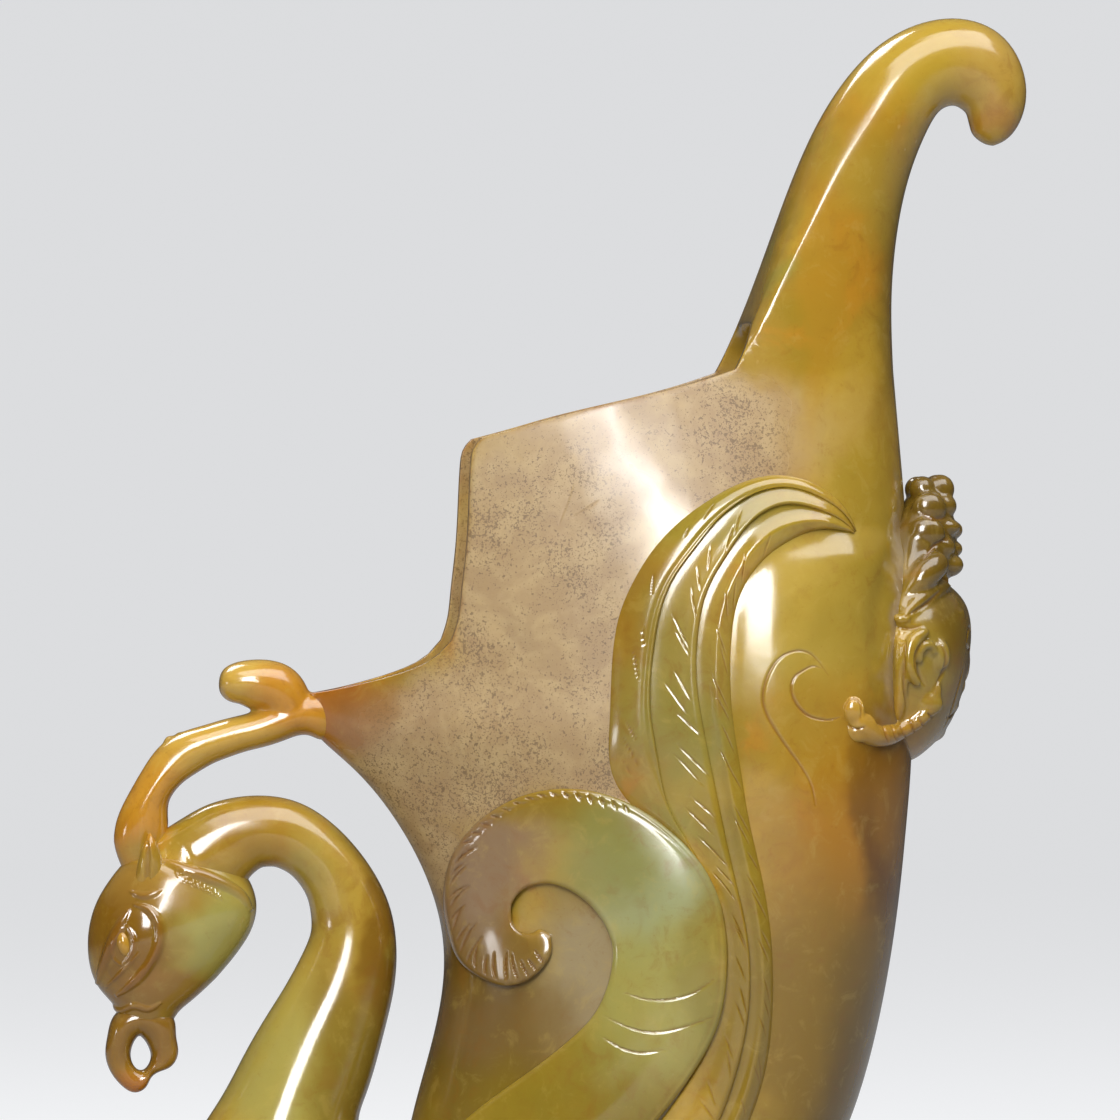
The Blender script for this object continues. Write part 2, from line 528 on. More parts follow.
FLANK_FOOT, FOOT_FADE, TOP_OVERLAP, TOP_FADE = 29.0, 13.0, 1.5, 5.0


def nearest(line, x, z):
    """Distance from places in the side view to a drawn line, and the share along it that is nearest."""
    line = np.asarray(line, float)
    best = np.full(np.shape(x), 1e9)
    share = np.zeros(np.shape(x))
    for k, (start, end) in enumerate(zip(line, line[1:])):
        run = end - start
        along = np.clip(((x - start[0]) * run[0] + (z - start[1]) * run[1]) / (run @ run), 0, 1)
        far = np.hypot(x - start[0] - along * run[0], z - start[1] - along * run[1])
        closer = far < best
        best = np.where(closer, far, best)
        share = np.where(closer, (k + along) / (len(line) - 1), share)
    return best, share


flank_line = None


def flank_swell(x, z):
    """How far the body behind the feathers stands out."""
    if flank_line is None:
        return np.zeros(np.shape(x))
    behind = np.interp(z, flank_line[::-1, 1], flank_line[::-1, 0])
    far, _ = nearest(flank_line, x, z)
    top = flank_line[:, 1].max()
    inside = (x > behind) & (z < top)
    ends = ease((top + TOP_OVERLAP - z) / TOP_FADE) * ease((z - FLANK_FOOT) / FOOT_FADE)
    return FLANK_SWELL * np.sin(np.pi / 2 * np.clip(far / FLANK_ROUND, 0, 1)) * inside * ends


def cup_side(x, z):
    """How far out the cup's side lies at a place of the side view."""
    front, back, half, lean = outer_form(z)
    cosine = np.clip((x - (front + back) / 2) / ((back - front) / 2), -1, 1)
    flat = ease((1 - np.abs(cosine)) * 6)
    return egg_width(cosine, half, lean) + flank_swell(x, z) * flat


def turned_square(line, side_at):
    """A line drawn as the camera sees it, moved back to where it lies on a side of the stone."""
    line = np.array(line, float)
    x = line[:, 0]
    for _ in range(4):
        x = (line[:, 0] - side_at(x, line[:, 1]) * math.sin(VIEW_TURN)) / math.cos(VIEW_TURN)
    return np.stack([x, line[:, 1]], axis=-1)


def side_line(line):
    """A drawn line of the near side as a smooth curve in the true side view."""
    return smooth_curve(turned_square(line, cup_side))


feather_edges = [side_line(line) for line in FEATHER_LINES]
body_edge = feather_edges[3](np.linspace(0.06, 1, 90))
flank_line = body_edge[np.argmax(body_edge[:, 1]):]
widest = float(np.max(cup_side(np.linspace(-10, 35, 50), 75.0)))
print("half width at a height of 75 mm:", round(widest, 2), "mm")

# %% [markdown]
# The rim runs in steps: out from the tail's notch, down a sharp step, and forward to the spout.
# A grid that keeps its rows and columns on these edges gives clean corners, so the wall is laid out
# in blocks. Columns: spout, side, back. Rows: up to the spout's rim, up to the top rim, up the tail.

# %% The stepped rim and the tail's outline
SPOUT_RIM = [(-31.0, 91.9), (-27.6, 92.4), (-23.0, 93.4), (-17.9, 94.9), (-14.6, 96.6), (-12.9, 98.4)]
STEP_EDGE = [(-12.9, 98.4), (-12.1, 100.8), (-11.7, 103.8), (-11.1, 109.2), (-10.8, 114.6),
             (-10.6, 119.4), (-10.1, 121.6), (-9.2, 122.6)]
TOP_RIM = [(-9.2, 122.6), (-4.6, 123.8), (0.0, 125.1), (9.2, 127.3), (16.8, 129.3), (20.9, 130.7)]
NOTCH_X = 19.9
# Pairs of points on the tail's front and back edges, half thickness, broadest place
TAIL = [
    (19.9, 130.7, 40.2, 130.7, 12.5, -1.0), (22.9, 139.2, 40.0, 139.2, 10.7, -0.82),
    (26.2, 148.7, 40.9, 148.7, 8.8, -0.5), (29.6, 157.4, 42.7, 155.8, 7.4, -0.22),
    (33.2, 164.0, 44.6, 160.2, 6.4, 0.0), (38.5, 169.9, 46.2, 162.3, 5.7, 0.0),
    (43.6, 172.6, 47.5, 162.7, 5.3, 0.0), (49.0, 173.1, 48.4, 162.4, 5.0, 0.0),
    (53.2, 171.3, 49.0, 161.9, 4.6, 0.0), (55.9, 167.2, 49.3, 161.2, 4.1, 0.0),
    (56.2, 162.6, 49.6, 160.0, 3.5, 0.0), (54.9, 159.6, 50.2, 158.9, 2.5, 0.0),
    (53.4, 158.3, 51.4, 158.1, 1.2, 0.0), (52.4, 157.9, 52.2, 157.9, 0.05, 0.0),
]
SPOUT_COLUMNS, SIDE_COLUMNS, BACK_COLUMNS = 20, 54, 30
LOWER_ROWS, STEP_ROWS, TAIL_ROWS = 100, 34, 96
COLUMNS = SPOUT_COLUMNS + SIDE_COLUMNS + BACK_COLUMNS
WALL_ROWS = LOWER_ROWS + STEP_ROWS
ROWS = WALL_ROWS + TAIL_ROWS

spout_rim, step_edge, top_rim = (side_line(line)(np.linspace(0, 1, 80))
                                 for line in (SPOUT_RIM, STEP_EDGE, TOP_RIM))
corner_z = step_edge[0, 1]
tail_at = smooth_curve(TAIL)
print("the step of the rim is", round(float(step_edge[-1, 1] - corner_z), 1), "mm high, the tail rises",
      round(max(max(row[1], row[3]) for row in TAIL) - SEAT, 1), "mm above the seat")

# %% [markdown]
# One function gives the place of any crossing of that grid, on the outside or on the inside. Below the
# tail it looks up how high the rim is over each column, and shares the rows out below it. The tail is
# round, but at its base it has to be the cup's own section, so there it is shifted onto it, and the
# shift fades out a little higher up. Inside, the tail's foot is scooped out.

# %% Where each block of the wall lies
RIM_START, RIM_ROUNDS, RIM_STRIDE = 125.0, 12, 0.7
TAIL_EDGE, SCOOP_TURN, LIP_TURN = math.radians(90), math.radians(35), math.radians(8)
SCOOP_END, BLEND_END, TAIL_SPACING = 0.1, 0.3, 1.3


def middle_and_reach(form, z):
    """Middle, half length, half width and lean of the outside or the hollow at a height."""
    front, back, half, lean = form(z)
    return (front + back) / 2, (back - front) / 2, half, lean


def column_angle(form, z, spout, side, back):
    """Angle round the egg section for a column, from pi at the spout to 0 at the back."""
    height = np.maximum(z, corner_z)
    middle, reach, _, _ = middle_and_reach(form, height)
    step_x = np.interp(height, step_edge[:, 1], step_edge[:, 0])
    step_angle = np.arccos(np.clip((step_x - middle) / reach, -1, 1))
    seat_middle, seat_reach, _, _ = middle_and_reach(form, SEAT)
    notch_angle = np.arccos((NOTCH_X - seat_middle) / seat_reach)
    return math.pi + (step_angle - math.pi) * spout + (notch_angle - step_angle) * side - notch_angle * back


def wall_point(column, row, form):
    """A point of the outer or inner wall below the tail."""
    spout = np.clip(column / SPOUT_COLUMNS, 0, 1)
    side = np.clip((column - SPOUT_COLUMNS) / SIDE_COLUMNS, 0, 1)
    back = np.clip((column - SPOUT_COLUMNS - SIDE_COLUMNS) / BACK_COLUMNS, 0, 1)
    lower = np.clip(row / LOWER_ROWS, 0, 1)
    upper = np.clip((row - LOWER_ROWS) / STEP_ROWS, 0, 1)

    def at_height(z):
        angle = column_angle(form, z, spout, side, back)
        middle, reach, half, lean = middle_and_reach(form, z)
        return middle + reach * np.cos(angle), egg_width(np.cos(angle), half, lean)

    first, top = np.full(np.shape(column), corner_z), np.full(np.shape(column), RIM_START)
    for _ in range(RIM_ROUNDS):
        first = np.interp(at_height(first)[0], spout_rim[:, 0], spout_rim[:, 1])
        reached = np.interp(at_height(top)[0], top_rim[:, 0], top_rim[:, 1])
        top = top + RIM_STRIDE * (reached - top)
    start, power = (CUP_FOOT, 1.0) if form is outer_form else (FLOOR, 2.0)
    z = start + (first - start) * lower ** power + (top - first) * upper
    x, y = at_height(z)
    if form is outer_form:
        y = np.where(z < SEAT, y + flank_swell(x, z) * ease(y / 3), y)
    return x, y, z, back


def round_section(row, angle):
    """A point of an egg-shaped section between two edges: x, z, x, z, half thickness, broadest place."""
    x1, z1, x2, z2, half, broad = np.moveaxis(row, -1, 0)
    reach = np.where(np.cos(angle) > 0, 1 - broad, 1 + broad)
    across = (1 + broad + reach * np.cos(angle)) / 2
    return x1 + (x2 - x1) * across, half * np.sin(angle), z1 + (z2 - z1) * across


def tail_point(share, back, form):
    """A point of the tail, which takes over the cup's own section at its base."""
    def plain(at, edge):
        lip = edge + LIP_TURN
        turn = edge * (1 - back) if form is outer_form else lip + (math.pi - lip) * back
        return np.stack(round_section(tail_at(at), turn))

    column = SPOUT_COLUMNS + SIDE_COLUMNS + BACK_COLUMNS * back
    base = np.stack(wall_point(column, np.full(np.shape(back), WALL_ROWS), form)[:3])
    shift = base - plain(np.zeros(np.shape(back)), TAIL_EDGE)
    fade = 1 - ease(share / (BLEND_END if form is outer_form else SCOOP_END))
    return plain(share, TAIL_EDGE + SCOOP_TURN * ease(share / SCOOP_END)) + shift * fade


def shell_point(column, row, form):
    """Any point of the outer or inner surface, by its column and row."""
    *wall, back = wall_point(column, np.minimum(row, WALL_ROWS), form)
    share = 1 - (1 - np.clip((row - WALL_ROWS) / TAIL_ROWS, 0, 1)) ** TAIL_SPACING
    return np.where(row > WALL_ROWS, tail_point(share, back, form), np.stack(wall))


def on_wall(u, v):
    """Which faces of the block grid stay: none above the spout's rim or above the top rim."""
    column, row = u * COLUMNS, v * ROWS
    return not (column < SPOUT_COLUMNS and row > LOWER_ROWS
                or column < SPOUT_COLUMNS + SIDE_COLUMNS and row > WALL_ROWS)


tip = shell_point(np.array([COLUMNS]), np.array([ROWS]), outer_form)[:, 0]
print("a grid of", COLUMNS, "by", ROWS, "ends at the tail's tip,", [round(float(side), 1) for side in tip])

# %% [markdown]
# Half the vessel is laid: the outer sheet, the inner sheet, and the rim between them. Then bmesh
# mirrors it across the middle and welds the seam. The rim's sharp edges are bevelled, because a
# polisher always takes the edge off, and light catches on that thin facet.

# %% The cup and its tail in one stone
RIM_STRIPS, RIM_AMBER, AMBER_ROWS = 4, 0.5, 14
RIM_BEVEL, BEVEL_ANGLE, BEVEL_STEPS = 0.32, 38, 2
SEAM = 0.01 * MM


def lay_sheet(builder, form):
    """The outer or the inner sheet of the near half."""
    def place(u, v):
        x, y, z = shell_point(u * COLUMNS, v * ROWS, form)
        return points(x, -y, z)
    bent_grid(builder, COLUMNS, ROWS, place, on_wall)


def lay_rim(builder, start, end):
    """The rim between the sheets, from one crossing of the block grid to another."""
    (column, row), (columns, rows) = start, np.subtract(end, start)

    def place(u, v):
        at = column + v * columns, row + v * rows
        out, inn = shell_point(*at, outer_form), shell_point(*at, inner_form)
        x, y, z = out + (inn - out) * u
        return points(x, -y, z, RIM_AMBER * (1 - ease((at[1] - WALL_ROWS) / AMBER_ROWS)))
    bent_grid(builder, RIM_STRIPS, int(columns + rows), place)


cup = new_builder()
lay_sheet(cup, outer_form)
lay_sheet(cup, inner_form)
corners = [(0, LOWER_ROWS), (SPOUT_COLUMNS, LOWER_ROWS), (SPOUT_COLUMNS, WALL_ROWS),
           (SPOUT_COLUMNS + SIDE_COLUMNS, WALL_ROWS), (SPOUT_COLUMNS + SIDE_COLUMNS, ROWS)]
for start, end in zip(corners, corners[1:]):
    lay_rim(cup, start, end)
bmesh.ops.remove_doubles(cup, verts=cup.verts, dist=SEAM)
bmesh.ops.mirror(cup, geom=cup.verts[:] + cup.edges[:] + cup.faces[:], axis="Y", merge_dist=SEAM)
bmesh.ops.holes_fill(cup, edges=[edge for edge in cup.edges if edge.is_boundary], sides=0)
bmesh.ops.recalc_face_normals(cup, faces=cup.faces)
sharp = [edge for edge in cup.edges
         if len(edge.link_faces) == 2 and edge.calc_face_angle(0) > math.radians(BEVEL_ANGLE)]
bmesh.ops.bevel(cup, geom=sharp, offset=RIM_BEVEL * MM, offset_type="OFFSET", segments=BEVEL_STEPS,
                profile=0.5, affect="EDGES", material=-1, clamp_overlap=True)
print("edges bevelled:", len(sharp), "faces:", len(cup.faces))

# %% [markdown]
# The wing is carved in low relief: a broad scroll that curls in front, and three long feathers that
# sweep up behind it. Each is a band between two drawn edges. A band has steep sides with a rounded
# lip, and its top follows the stone beneath, so the relief is as thick everywhere as the carver left
# it. The sides stand a little way down in the stone, so no gap shows.

# %% A raised band between two edges
BREAST_MIDDLE, BREAST_REACH, BREAST_HALF, BREAST_BLEND = (-24.0, 24.0), (22.0, 17.0), 14.6, 5.0


def body_side(x, z):
    """The stone's side with the breast in front of the cup."""
    far = ((x - BREAST_MIDDLE[0]) / BREAST_REACH[0]) ** 2 + ((z - BREAST_MIDDLE[1]) / BREAST_REACH[1]) ** 2
    breast = BREAST_HALF * np.sqrt(np.clip(1 - far, 0, 1))
    more = cup_side(x, z) - breast
    both = np.clip(0.5 + more / (2 * BREAST_BLEND), 0, 1)
    return breast + more * both + BREAST_BLEND * both * (1 - both)


def square_body(line):
    """A line of the photograph, turned square on the stone with its breast."""
    return turned_square(seen(line), body_side)


def flowing(line):
    """A drawn line as a smooth one through its points."""
    line = np.asarray(line, float)
    return smooth_curve(line)(np.linspace(0, 1, 5 * len(line))) if len(line) > 2 else line


def strokes(x, z, lines, width):
    """How deep, from 0 to 1, each place lies in the nearest of some tapering strokes."""
    depth = np.zeros(np.shape(x))
    for line in lines:
        line = flowing(line)
        low, high = line.min(axis=0) - width, line.max(axis=0) + width
        near = (x > low[0]) & (x < high[0]) & (z > low[1]) & (z < high[1])
        if near.any():
            far, share = nearest(line, x[near], z[near])
            taper = 0.25 + 0.75 * np.sqrt(np.sin(math.pi * np.clip(share, 0.02, 0.98)))
            cut = np.clip(1 - (far / (width * taper)) ** 2, 0, 1) ** 1.3
            depth[near] = np.maximum(depth[near], cut * taper)
    return depth


def band_ring(u, width, lift, lip, sink):
    """Across and height of a band's section: up one side, over the top, down the other, back below."""
    lip = np.minimum(np.minimum(lip, 0.42 * width), lift + 0.001)
    knots = [0.0, 0.08, 0.18, 0.82, 0.92, 0.97, 1.0]
    part = [np.clip((u - a) / (b - a), 0, 1) for a, b in zip(knots, knots[1:])]
    rise, fall = part[1] * math.pi / 2, part[3] * math.pi / 2
    across = lip * (1 - np.cos(rise)) + (width - 2 * lip) * part[2] + lip * np.sin(fall) - width * part[5]
    height = -sink + (sink + lift - lip) * (part[0] - part[4]) + lip * (np.sin(rise) - 1 + np.cos(fall))
    return across, height, part[2]


def side_band(first, second, across, along, shape, side):
    """One band of the near side. shape(t, s, x, z) gives the extra height and the crease value."""
    builder = new_builder()
    lift, lip, sink = side

    def place(u, t):
        one, two = first(t), second(t)
        width = np.linalg.norm(two - one, axis=-1)
        swell = np.sqrt(np.clip(np.sin(math.pi * np.clip(t, 0, 1)) * 9, 0, 1)) ** 0.7
        a, h, s = band_ring(u, width, lift * swell, lip, sink)
        share = np.where(width > 1e-6, a / np.maximum(width, 1e-6), 0.5)
        x, z = np.moveaxis(one + (two - one) * share[:, None], -1, 0)
        extra, crease = shape(t, share, x, z)
        top = ease((u - 0.04) / 0.1) * ease((0.95 - u) / 0.1)
        up = np.clip((h + sink) / (sink + lift * swell + 1e-6), 0, 1)
        y = body_side(x, z) + h + extra * up * swell
        wall = 1 - ease(up / 0.85)
        return points(x, -y, z, np.clip(np.maximum(crease * top, wall), 0, 1))

    bent_grid(builder, across, along, place)
    return builder


def finish_pair(name, builder, jade, node):
    """Finishes a near side piece and its mirror image on the far side."""
    copy = builder.copy()
    bmesh.ops.transform(copy, matrix=Matrix.Diagonal((1, -1, 1, 1)), verts=copy.verts)
    for side_name, part in (("right", copy), ("left", builder)):
        finish_piece(f"{name}_{side_name}", part, JADES[jade], [f"{node}_{side_name}"])


print("half width at the breast and at the cup's belly:",
      [round(float(body_side(np.array(x), np.array(z))), 1) for x, z in ((-24.0, 24.0), (15.0, 60.0))], "mm")

# %% [markdown]
# The scroll rises like a wave and ends in a small hook. Its cushion is highest near the outer edge.
# Short slanting cuts fringe the hook and the upper lip, and three thin arcs cross the middle.

# %% The wing's scroll
SCROLL_OUTER = [(551, 931), (552, 941), (545, 960), (529, 975), (506, 982), (481, 975), (460, 960),
                (449, 935), (444, 909), (444, 884), (451, 856), (467, 831), (490, 810), (520, 794),
                (558, 786), (591, 788), (621, 797), (650, 813), (678, 836), (701, 863), (715, 891),
                (722, 921), (724, 955), (722, 990), (715, 1020), (701, 1049), (683, 1077), (660, 1107),
                (625, 1145), (573, 1188), (510, 1225), (443, 1246), (385, 1252), (343, 1243)]
SCROLL_INNER = [(549, 929), (543, 926), (534, 928), (523, 929), (516, 925), (512, 918), (511, 911),
                (511, 904), (513, 898), (517, 892), (522, 887), (529, 883), (537, 881), (546, 880),
                (557, 882), (568, 886), (578, 892), (588, 900), (596, 909), (603, 919), (608, 930),
                (611, 942), (611, 957), (608, 974), (601, 994), (588, 1015), (565, 1037), (535, 1061),
                (490, 1094), (447, 1130), (405, 1167), (372, 1197), (347, 1217), (332, 1230)]
SCROLL_LIFT, SCROLL_LIP, BAND_SINK = 1.5, 0.65, 0.5

strides = np.linalg.norm(np.diff(seen(SCROLL_OUTER) * 0.6 + seen(SCROLL_INNER) * 0.4, axis=0), axis=1)
stations = np.concatenate([[0], np.cumsum(strides)]) / strides.sum()
scroll_outer, scroll_inner = (smooth_curve(square_body(line), stations)
                              for line in (SCROLL_OUTER, SCROLL_INNER))
print("the scroll is", round(float(strides.sum())), "mm long")

# %% [markdown]
# The slanting cuts follow a rule. Under the hook they reach far in, round its back they lean along
# the edge, and on the upper lip they are mere nicks. A little unevenness keeps them from looking
# stamped.

# %% Cuts and cushion of the scroll
HOOK_CUTS, LIP_CUTS = 18, 15
CUT_WIDTH, CUT_DEPTH, ARC_WIDTH, ARC_DEPTH = 0.17, 0.28, 0.13, 0.16
CUSHION_HEIGHT, EDGE_INSET, EDGE_WIDTH, EDGE_DEPTH = 0.75, 0.95, 0.16, 0.07


def scroll_place(t, s):
    """A place of the scroll: share along it, and across it from the outer edge."""
    return scroll_outer(t) + (scroll_inner(t) - scroll_outer(t)) * s


def hook_cut(k):
    """One cut of the hook, by its number."""
    lean = k / (HOOK_CUTS - 1)
    t = 0.022 + 0.15 * lean
    reach = (0.5 - 0.36 * lean) * (1 + 0.25 * math.sin(5 * k))
    slant = (0.006 + 0.014 * lean) * (1 + 0.3 * math.sin(3 * k))
    return [scroll_place(t + slant * share, 0.06 + reach * share) for share in (0, 0.5, 1)]


hatch = [hook_cut(k) for k in range(HOOK_CUTS)]
hatch += [[scroll_place(t, 0.03), scroll_place(t + 0.006, 0.09 + 0.03 * math.sin(7 * k))]
          for k, t in enumerate(np.linspace(0.19, 0.33, LIP_CUTS))]
arcs = [square_body(line) for line in (
    [(624, 987), (640, 992), (663, 993), (690, 986), (712, 971)],
    [(604, 1010), (625, 1020), (650, 1025), (683, 1019), (712, 1009)],
    [(601, 1030), (620, 1041), (638, 1045), (660, 1042)])]


def scroll_shape(t, s, x, z):
    """Extra height and crease of the scroll's top."""
    cushion = CUSHION_HEIGHT * np.sin(math.pi * np.clip(s, 0, 1) ** 0.7) ** 1.3
    cushion = cushion * (0.35 + 0.65 * ease((t - 0.3) / 0.2))
    cut, arc = strokes(x, z, hatch, CUT_WIDTH), strokes(x, z, arcs, ARC_WIDTH)
    inset = s * np.linalg.norm(scroll_inner(t) - scroll_outer(t), axis=-1)
    edge_line = np.exp(-((inset - EDGE_INSET) / EDGE_WIDTH) ** 2)
    edge_line = edge_line * ease((t - 0.12) / 0.08) * ease((0.9 - t) / 0.1)
    height = cushion - CUT_DEPTH * cut - ARC_DEPTH * arc - EDGE_DEPTH * edge_line
    return height, np.maximum(np.maximum(cut * 0.8, arc), edge_line * 0.25)


scroll = side_band(scroll_outer, scroll_inner, 72, 820, scroll_shape, (SCROLL_LIFT, SCROLL_LIP, BAND_SINK))
finish_pair("wing_curl", scroll, "jade_pale", "wing_scroll")

# %% [markdown]
# The feathers overlap like shingles: each rises from under its neighbour, gently hollow, to a crest at
# its own right edge, and drops there to the next. The crest catches the light as one long line, and
# short slanting barbs are cut into it.

# %% The three long feathers
FEATHER_LIFT, FEATHER_LIP, FEATHER_SINK, TUCK = 1.15, 0.4, 0.6, 0.45
BARB_STEP, BARB_WIDTH, BARB_DEPTH, FULL_WIDTH = 2.9, 0.1, 0.13, 3.2
# The outer feather has only a few barbs, drawn in the photograph's pixels
OUTER_BARBS = [
    [(712, 504), (701, 520)], [(687, 527), (682, 538)], [(652, 573), (650, 595)], [(641, 626), (642, 646)],
    [(632, 651), (637, 679)], [(624, 718), (635, 739)], [(621, 735), (638, 765)], [(621, 757), (639, 786)],
]
# Share across the feather, share of its full height there
FEATHER_SECTIONS = {
    1: [(0.0, 0.0), (0.14, 0.36), (0.28, 0.64), (0.44, 0.85), (0.6, 0.95), (0.76, 0.96), (0.88, 0.93),
        (0.95, 1.0), (1.0, 0.8)],
    2: [(0.0, 0.35), (0.12, 0.36), (0.35, 0.5), (0.6, 0.78), (0.8, 0.97), (0.92, 1.0), (1.0, 0.75)],
    3: [(0.0, 0.35), (0.14, 0.4), (0.4, 0.7), (0.58, 1.0), (0.72, 0.82), (0.88, 0.5), (1.0, 0.1)],
}


def lay_feather(number, stop_right, barbs_from, barbs_to, inner, reach):
    """One feather, with its section and its barbs."""
    left, right = feather_edges[number - 1], feather_edges[number]
    section_at = FEATHER_SECTIONS[number]
    rise = smooth_curve([[up] for _, up in section_at], [share for share, _ in section_at])

    def here(t, s):
        one, two = left(t), right(t * stop_right)
        return one + (two - one) * s

    def tucked(t):
        width = np.linalg.norm(here(t, 1.0) - here(t, 0.0), axis=-1)
        under = np.minimum(TUCK, 0.2 * width) if number > 1 else 0 * width
        return here(t, (-under / np.maximum(width, 1e-6))[:, None])

    rows = np.linspace(0, 1, 60)
    length = np.linalg.norm(np.diff(right(rows * stop_right), axis=0), axis=1).sum()
    barbs = [square_body(line) for line in OUTER_BARBS] if number == 1 else []
    for k in range(int(length / BARB_STEP)):
        t = (k + 0.3 * math.sin(3.7 * k + number)) * BARB_STEP / length
        if barbs_from < t < barbs_to:
            start = inner + 0.12 * math.sin(2.3 * k)
            end = min(start + reach * (1 + 0.25 * math.sin(5.1 * k)), 0.93)
            run = (1.9 + 0.6 * math.sin(4.3 * k + 1)) / length
            barbs.append([here(t, start), here(t + 0.45 * run, (start + end) / 2), here(t + run, end)])

    def shape(t, s, x, z):
        width = np.linalg.norm(here(t, 1.0) - here(t, 0.0), axis=-1)
        height = (rise(np.clip(s, 0, 1))[..., 0] - 1) * FEATHER_LIFT * np.clip(width / FULL_WIDTH, 0.25, 1)
        cut = strokes(x, z, barbs, BARB_WIDTH)
        groove = np.clip(1 - (1 - s) * width / 0.35, 0, 1)
        return height - BARB_DEPTH * cut, np.maximum(cut * 0.8, groove * 0.3)

    sides = FEATHER_LIFT, FEATHER_LIP, FEATHER_SINK
    return side_band(tucked, lambda t: here(t, 1.0), 44, 620, shape, sides)


# Share of the right edge that belongs to the feather, first and last barb, where barbs start and
# how far across they reach
FEATHER_CUTS = {1: (0.55, 1.0, 1.0, 0.36, 0.3), 2: (1.0, 0.14, 0.9, 0.4, 0.45), 3: (1.0, 0.1, 0.9, 0.5, 0.4)}
for number, cuts in FEATHER_CUTS.items():
    finish_pair(f"feather_{number}", lay_feather(number, *cuts), "jade_olive", f"wing_feather_{number}")

# %% [markdown]
# Last of all the carver cut a thin curl into the swelling flank, where the bird's thigh would be. The
# cup's grid is too coarse for it, so the faces near the line are divided finer, set back on the true
# form, and pressed in along the line. Two old scratches on the dry wall are made in the same way.

# %% The curl cut into the flank
CURL_CUTS = [
    [(825, 674), (815, 660), (804, 651), (791, 650), (779, 655), (768, 668), (762, 683), (760, 696),
     (763, 710), (773, 729), (786, 748), (799, 766), (808, 783), (812, 802)],
    [(818, 667), (810, 665), (800, 669), (791, 676), (788, 686), (790, 696), (796, 706), (804, 713),
     (815, 717), (827, 718), (836, 716)],
]
SCRATCHES = [[(573, 486), (566, 505), (559, 524)], [(598, 501), (586, 510), (573, 518)]]
CURL_WIDTH, CURL_DEPTH, SCRATCH_DEPTH = 0.22, 0.15, 0.05
FINE_NEAR, SET_BACK_NEAR, FINE_CUTS = 0.9, 2.1, 8

curl, scratches = ([square_body(line) for line in lines] for lines in (CURL_CUTS, SCRATCHES))


def near_cuts(x, away, z, reach):
    """Which places of the cup's outside lie close to the curl or a scratch."""
    far = np.min([nearest(flowing(line), x, z)[0] for line in curl + scratches], axis=0)
    return (far < reach) & (away > cup_side(x, z) - 1)


def placed(items, centre_of):
    """Places along, out from the middle and up, of points or faces."""
    spots = np.array([centre_of(item) for item in items]) / MM
    return spots[:, 0], np.abs(spots[:, 1]), spots[:, 2]


faces = list(cup.faces)
chosen = near_cuts(*placed(faces, lambda face: face.calc_center_median()), FINE_NEAR)
cup.edges.index_update()
near = {edge.index for face, close in zip(faces, chosen) if close for edge in face.edges}
bmesh.ops.subdivide_edges(cup, edges=[edge for edge in cup.edges if edge.index in near], cuts=FINE_CUTS,
                          use_grid_fill=True)
cup.verts.ensure_lookup_table()
x, away, z = placed(cup.verts, lambda vertex: vertex.co)
close = near_cuts(x, away, z, SET_BACK_NEAR)
cut, scratch = strokes(x, z, curl, CURL_WIDTH), strokes(x, z, scratches, CURL_WIDTH)
settled = cup_side(x, z) - CURL_DEPTH * cut - SCRATCH_DEPTH * scratch
crease_layer = cup.verts.layers.float[CREASE]
for k in np.flatnonzero(close):
    vertex = cup.verts[int(k)]
    vertex.co.y = math.copysign(settled[k] * MM, vertex.co.y)
    vertex[crease_layer] = max(vertex[crease_layer], float(cut[k]))
print("faces divided:", int(chosen.sum()), "and the curl's depth:", round(CURL_DEPTH * cut.max(), 2), "mm")

# %% [markdown]
# A shallow hollow runs down the cup's back beside the mask, so that the beast seems to cling to the
# cup instead of growing out of it. The points are moved in along their normals, and the depth fades
# out at both ends.

# %% The hollow beside the mask
MASK_HOLLOW = [(909, 500), (901, 535), (889, 570), (879, 598), (875, 630), (876, 667), (879, 710)]
HOLLOW_WIDTH, HOLLOW_DEPTH = 1.3, 0.4
cup.normal_update()
x, away, z = placed(cup.verts, lambda vertex: vertex.co)
seen_x = x * math.cos(VIEW_TURN) + away * math.sin(VIEW_TURN)
far, along = nearest(flowing(seen(MASK_HOLLOW)), seen_x, z)
hollow = np.exp(-(far / HOLLOW_WIDTH) ** 2) * ease(along * 8) * ease((1 - along) * 8)
hollow = hollow * (away > cup_side(x, z) - 0.6)
for k in np.flatnonzero(hollow > 0.01):
    cup.verts[int(k)].co -= cup.verts[int(k)].normal * float(HOLLOW_DEPTH * hollow[k] * MM)
print("the hollow is", round(HOLLOW_DEPTH * float(hollow.max()), 2), "mm deep")

finish_piece("cup_and_tail", cup, JADES["jade_speckled"], ["cup_body", "tail_hook"])

# %% [markdown]
# The neck, the breast, the head and the crest are rods of stone whose section changes on the way.
# A table holds the two edges that the side view shows, the half thickness, and where between the
# edges the rod is broadest. A grid is rolled up round that table.

# %% A rod between two edges
def rod(builder, rows, around, along):
    """A closed tube through rows of: first edge x, z, second edge x, z, half thickness, broadest place."""
    at = smooth_curve(rows)
    bent_grid(builder, around, along, lambda u, v: points(*round_section(at(v), 2 * math.pi * u)))


def pixel_rows(rows):
    """Rod rows whose edges are given in the photograph's pixels."""
    return [(*seen([row[:2]])[0], *seen([row[2:4]])[0], *row[4:]) for row in rows]


def as_seen(builder):
    """Every point of a mesh as the camera sees it, with the far side folded onto the near side."""
    spot = np.array([vertex.co for vertex in builder.verts]) / MM
    return spot[:, 0] * math.cos(VIEW_TURN) + np.abs(spot[:, 1]) * math.sin(VIEW_TURN), spot[:, 2]


